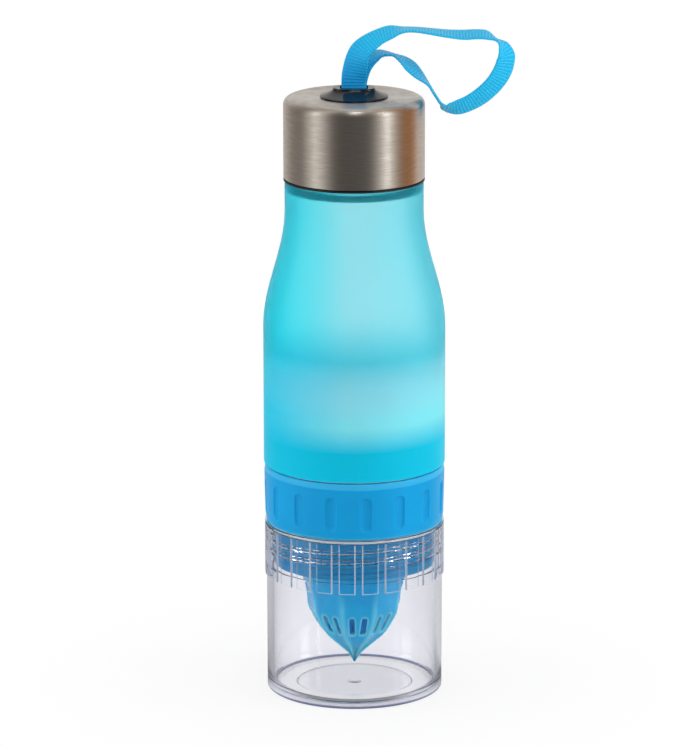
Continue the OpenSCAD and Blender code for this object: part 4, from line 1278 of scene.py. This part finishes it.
class PieceOperator:
    """Runs one building function, and raises what it raises."""
    bl_options = {"REGISTER", "UNDO"}

    def execute(self, context):
        type(self).build()
        return {"FINISHED"}


class BOTTLE_OT_camera(PieceOperator, bpy.types.Operator):
    """Place the camera as the photograph has it"""
    bl_idname = "bottle.camera"
    bl_label = "Camera"
    build = staticmethod(build_camera)


class BOTTLE_OT_strap(PieceOperator, bpy.types.Operator):
    """Make the woven carrying strap"""
    bl_idname = "bottle.strap"
    bl_label = "Strap"
    build = staticmethod(build_strap)


class BOTTLE_OT_cup(PieceOperator, bpy.types.Operator):
    """Make the clear cup"""
    bl_idname = "bottle.cup"
    bl_label = "Cup"
    build = staticmethod(build_cup)


class BOTTLE_OT_collar(PieceOperator, bpy.types.Operator):
    """Make the threaded grip collar"""
    bl_idname = "bottle.collar"
    bl_label = "Collar"
    build = staticmethod(build_collar)


class BOTTLE_OT_press(PieceOperator, bpy.types.Operator):
    """Make the citrus press"""
    bl_idname = "bottle.press"
    bl_label = "Press"
    build = staticmethod(build_press)


class BOTTLE_OT_body(PieceOperator, bpy.types.Operator):
    """Make the frosted bottle"""
    bl_idname = "bottle.body"
    bl_label = "Bottle"
    build = staticmethod(build_body)


class BOTTLE_OT_cap(PieceOperator, bpy.types.Operator):
    """Make the cap's steel shell"""
    bl_idname = "bottle.cap"
    bl_label = "Cap"
    build = staticmethod(build_cap)


class BOTTLE_OT_boss(PieceOperator, bpy.types.Operator):
    """Make the boss that holds the strap"""
    bl_idname = "bottle.boss"
    bl_label = "Boss"
    build = staticmethod(build_boss)


class BOTTLE_OT_seals(PieceOperator, bpy.types.Operator):
    """Finish the lining, seal rings and pin, which keep their CAD shapes"""
    bl_idname = "bottle.seals"
    bl_label = "Lining, seals and pin"
    build = staticmethod(finish_cad_pieces)


class BOTTLE_OT_stage(PieceOperator, bpy.types.Operator):
    """Make the floor, the world and the lamps"""
    bl_idname = "bottle.stage"
    bl_label = "Stage"
    build = staticmethod(build_stage)


OPERATORS = [BOTTLE_OT_camera, BOTTLE_OT_strap, BOTTLE_OT_cup, BOTTLE_OT_collar, BOTTLE_OT_press,
             BOTTLE_OT_body, BOTTLE_OT_cap, BOTTLE_OT_boss, BOTTLE_OT_seals, BOTTLE_OT_stage]


class BOTTLE_PT_panel(bpy.types.Panel):
    """Buttons for each piece, in the order that they are made"""
    bl_idname = "BOTTLE_PT_panel"
    bl_label = "Juicer Bottle"
    bl_space_type = "VIEW_3D"
    bl_region_type = "UI"
    bl_category = "Bottle"

    def draw(self, context):
        for operator in OPERATORS:
            self.layout.operator(operator.bl_idname)
        for key, group in SETTINGS.items():
            box = self.layout.box()
            box.label(text=group.__doc__)
            for name in group.__annotations__:
                box.prop(getattr(context.scene, key), name)


CLASSES = [*SETTINGS.values(), *OPERATORS, BOTTLE_PT_panel]


def register():
    """Adds the classes and gives each scene its settings."""
    for cls in CLASSES:
        bpy.utils.register_class(cls)
    for key, group in SETTINGS.items():
        setattr(bpy.types.Scene, key, PointerProperty(type=group))


def unregister():
    """Takes the settings and classes away again."""
    for key in SETTINGS:
        delattr(bpy.types.Scene, key)
    for cls in reversed(CLASSES):
        bpy.utils.unregister_class(cls)


def main():
    """Registers the classes and makes every piece in order."""
    register()
    for operator in OPERATORS:
        group, name = operator.bl_idname.split(".")
        getattr(getattr(bpy.ops, group), name)()


if __name__ == "__main__":
    main()
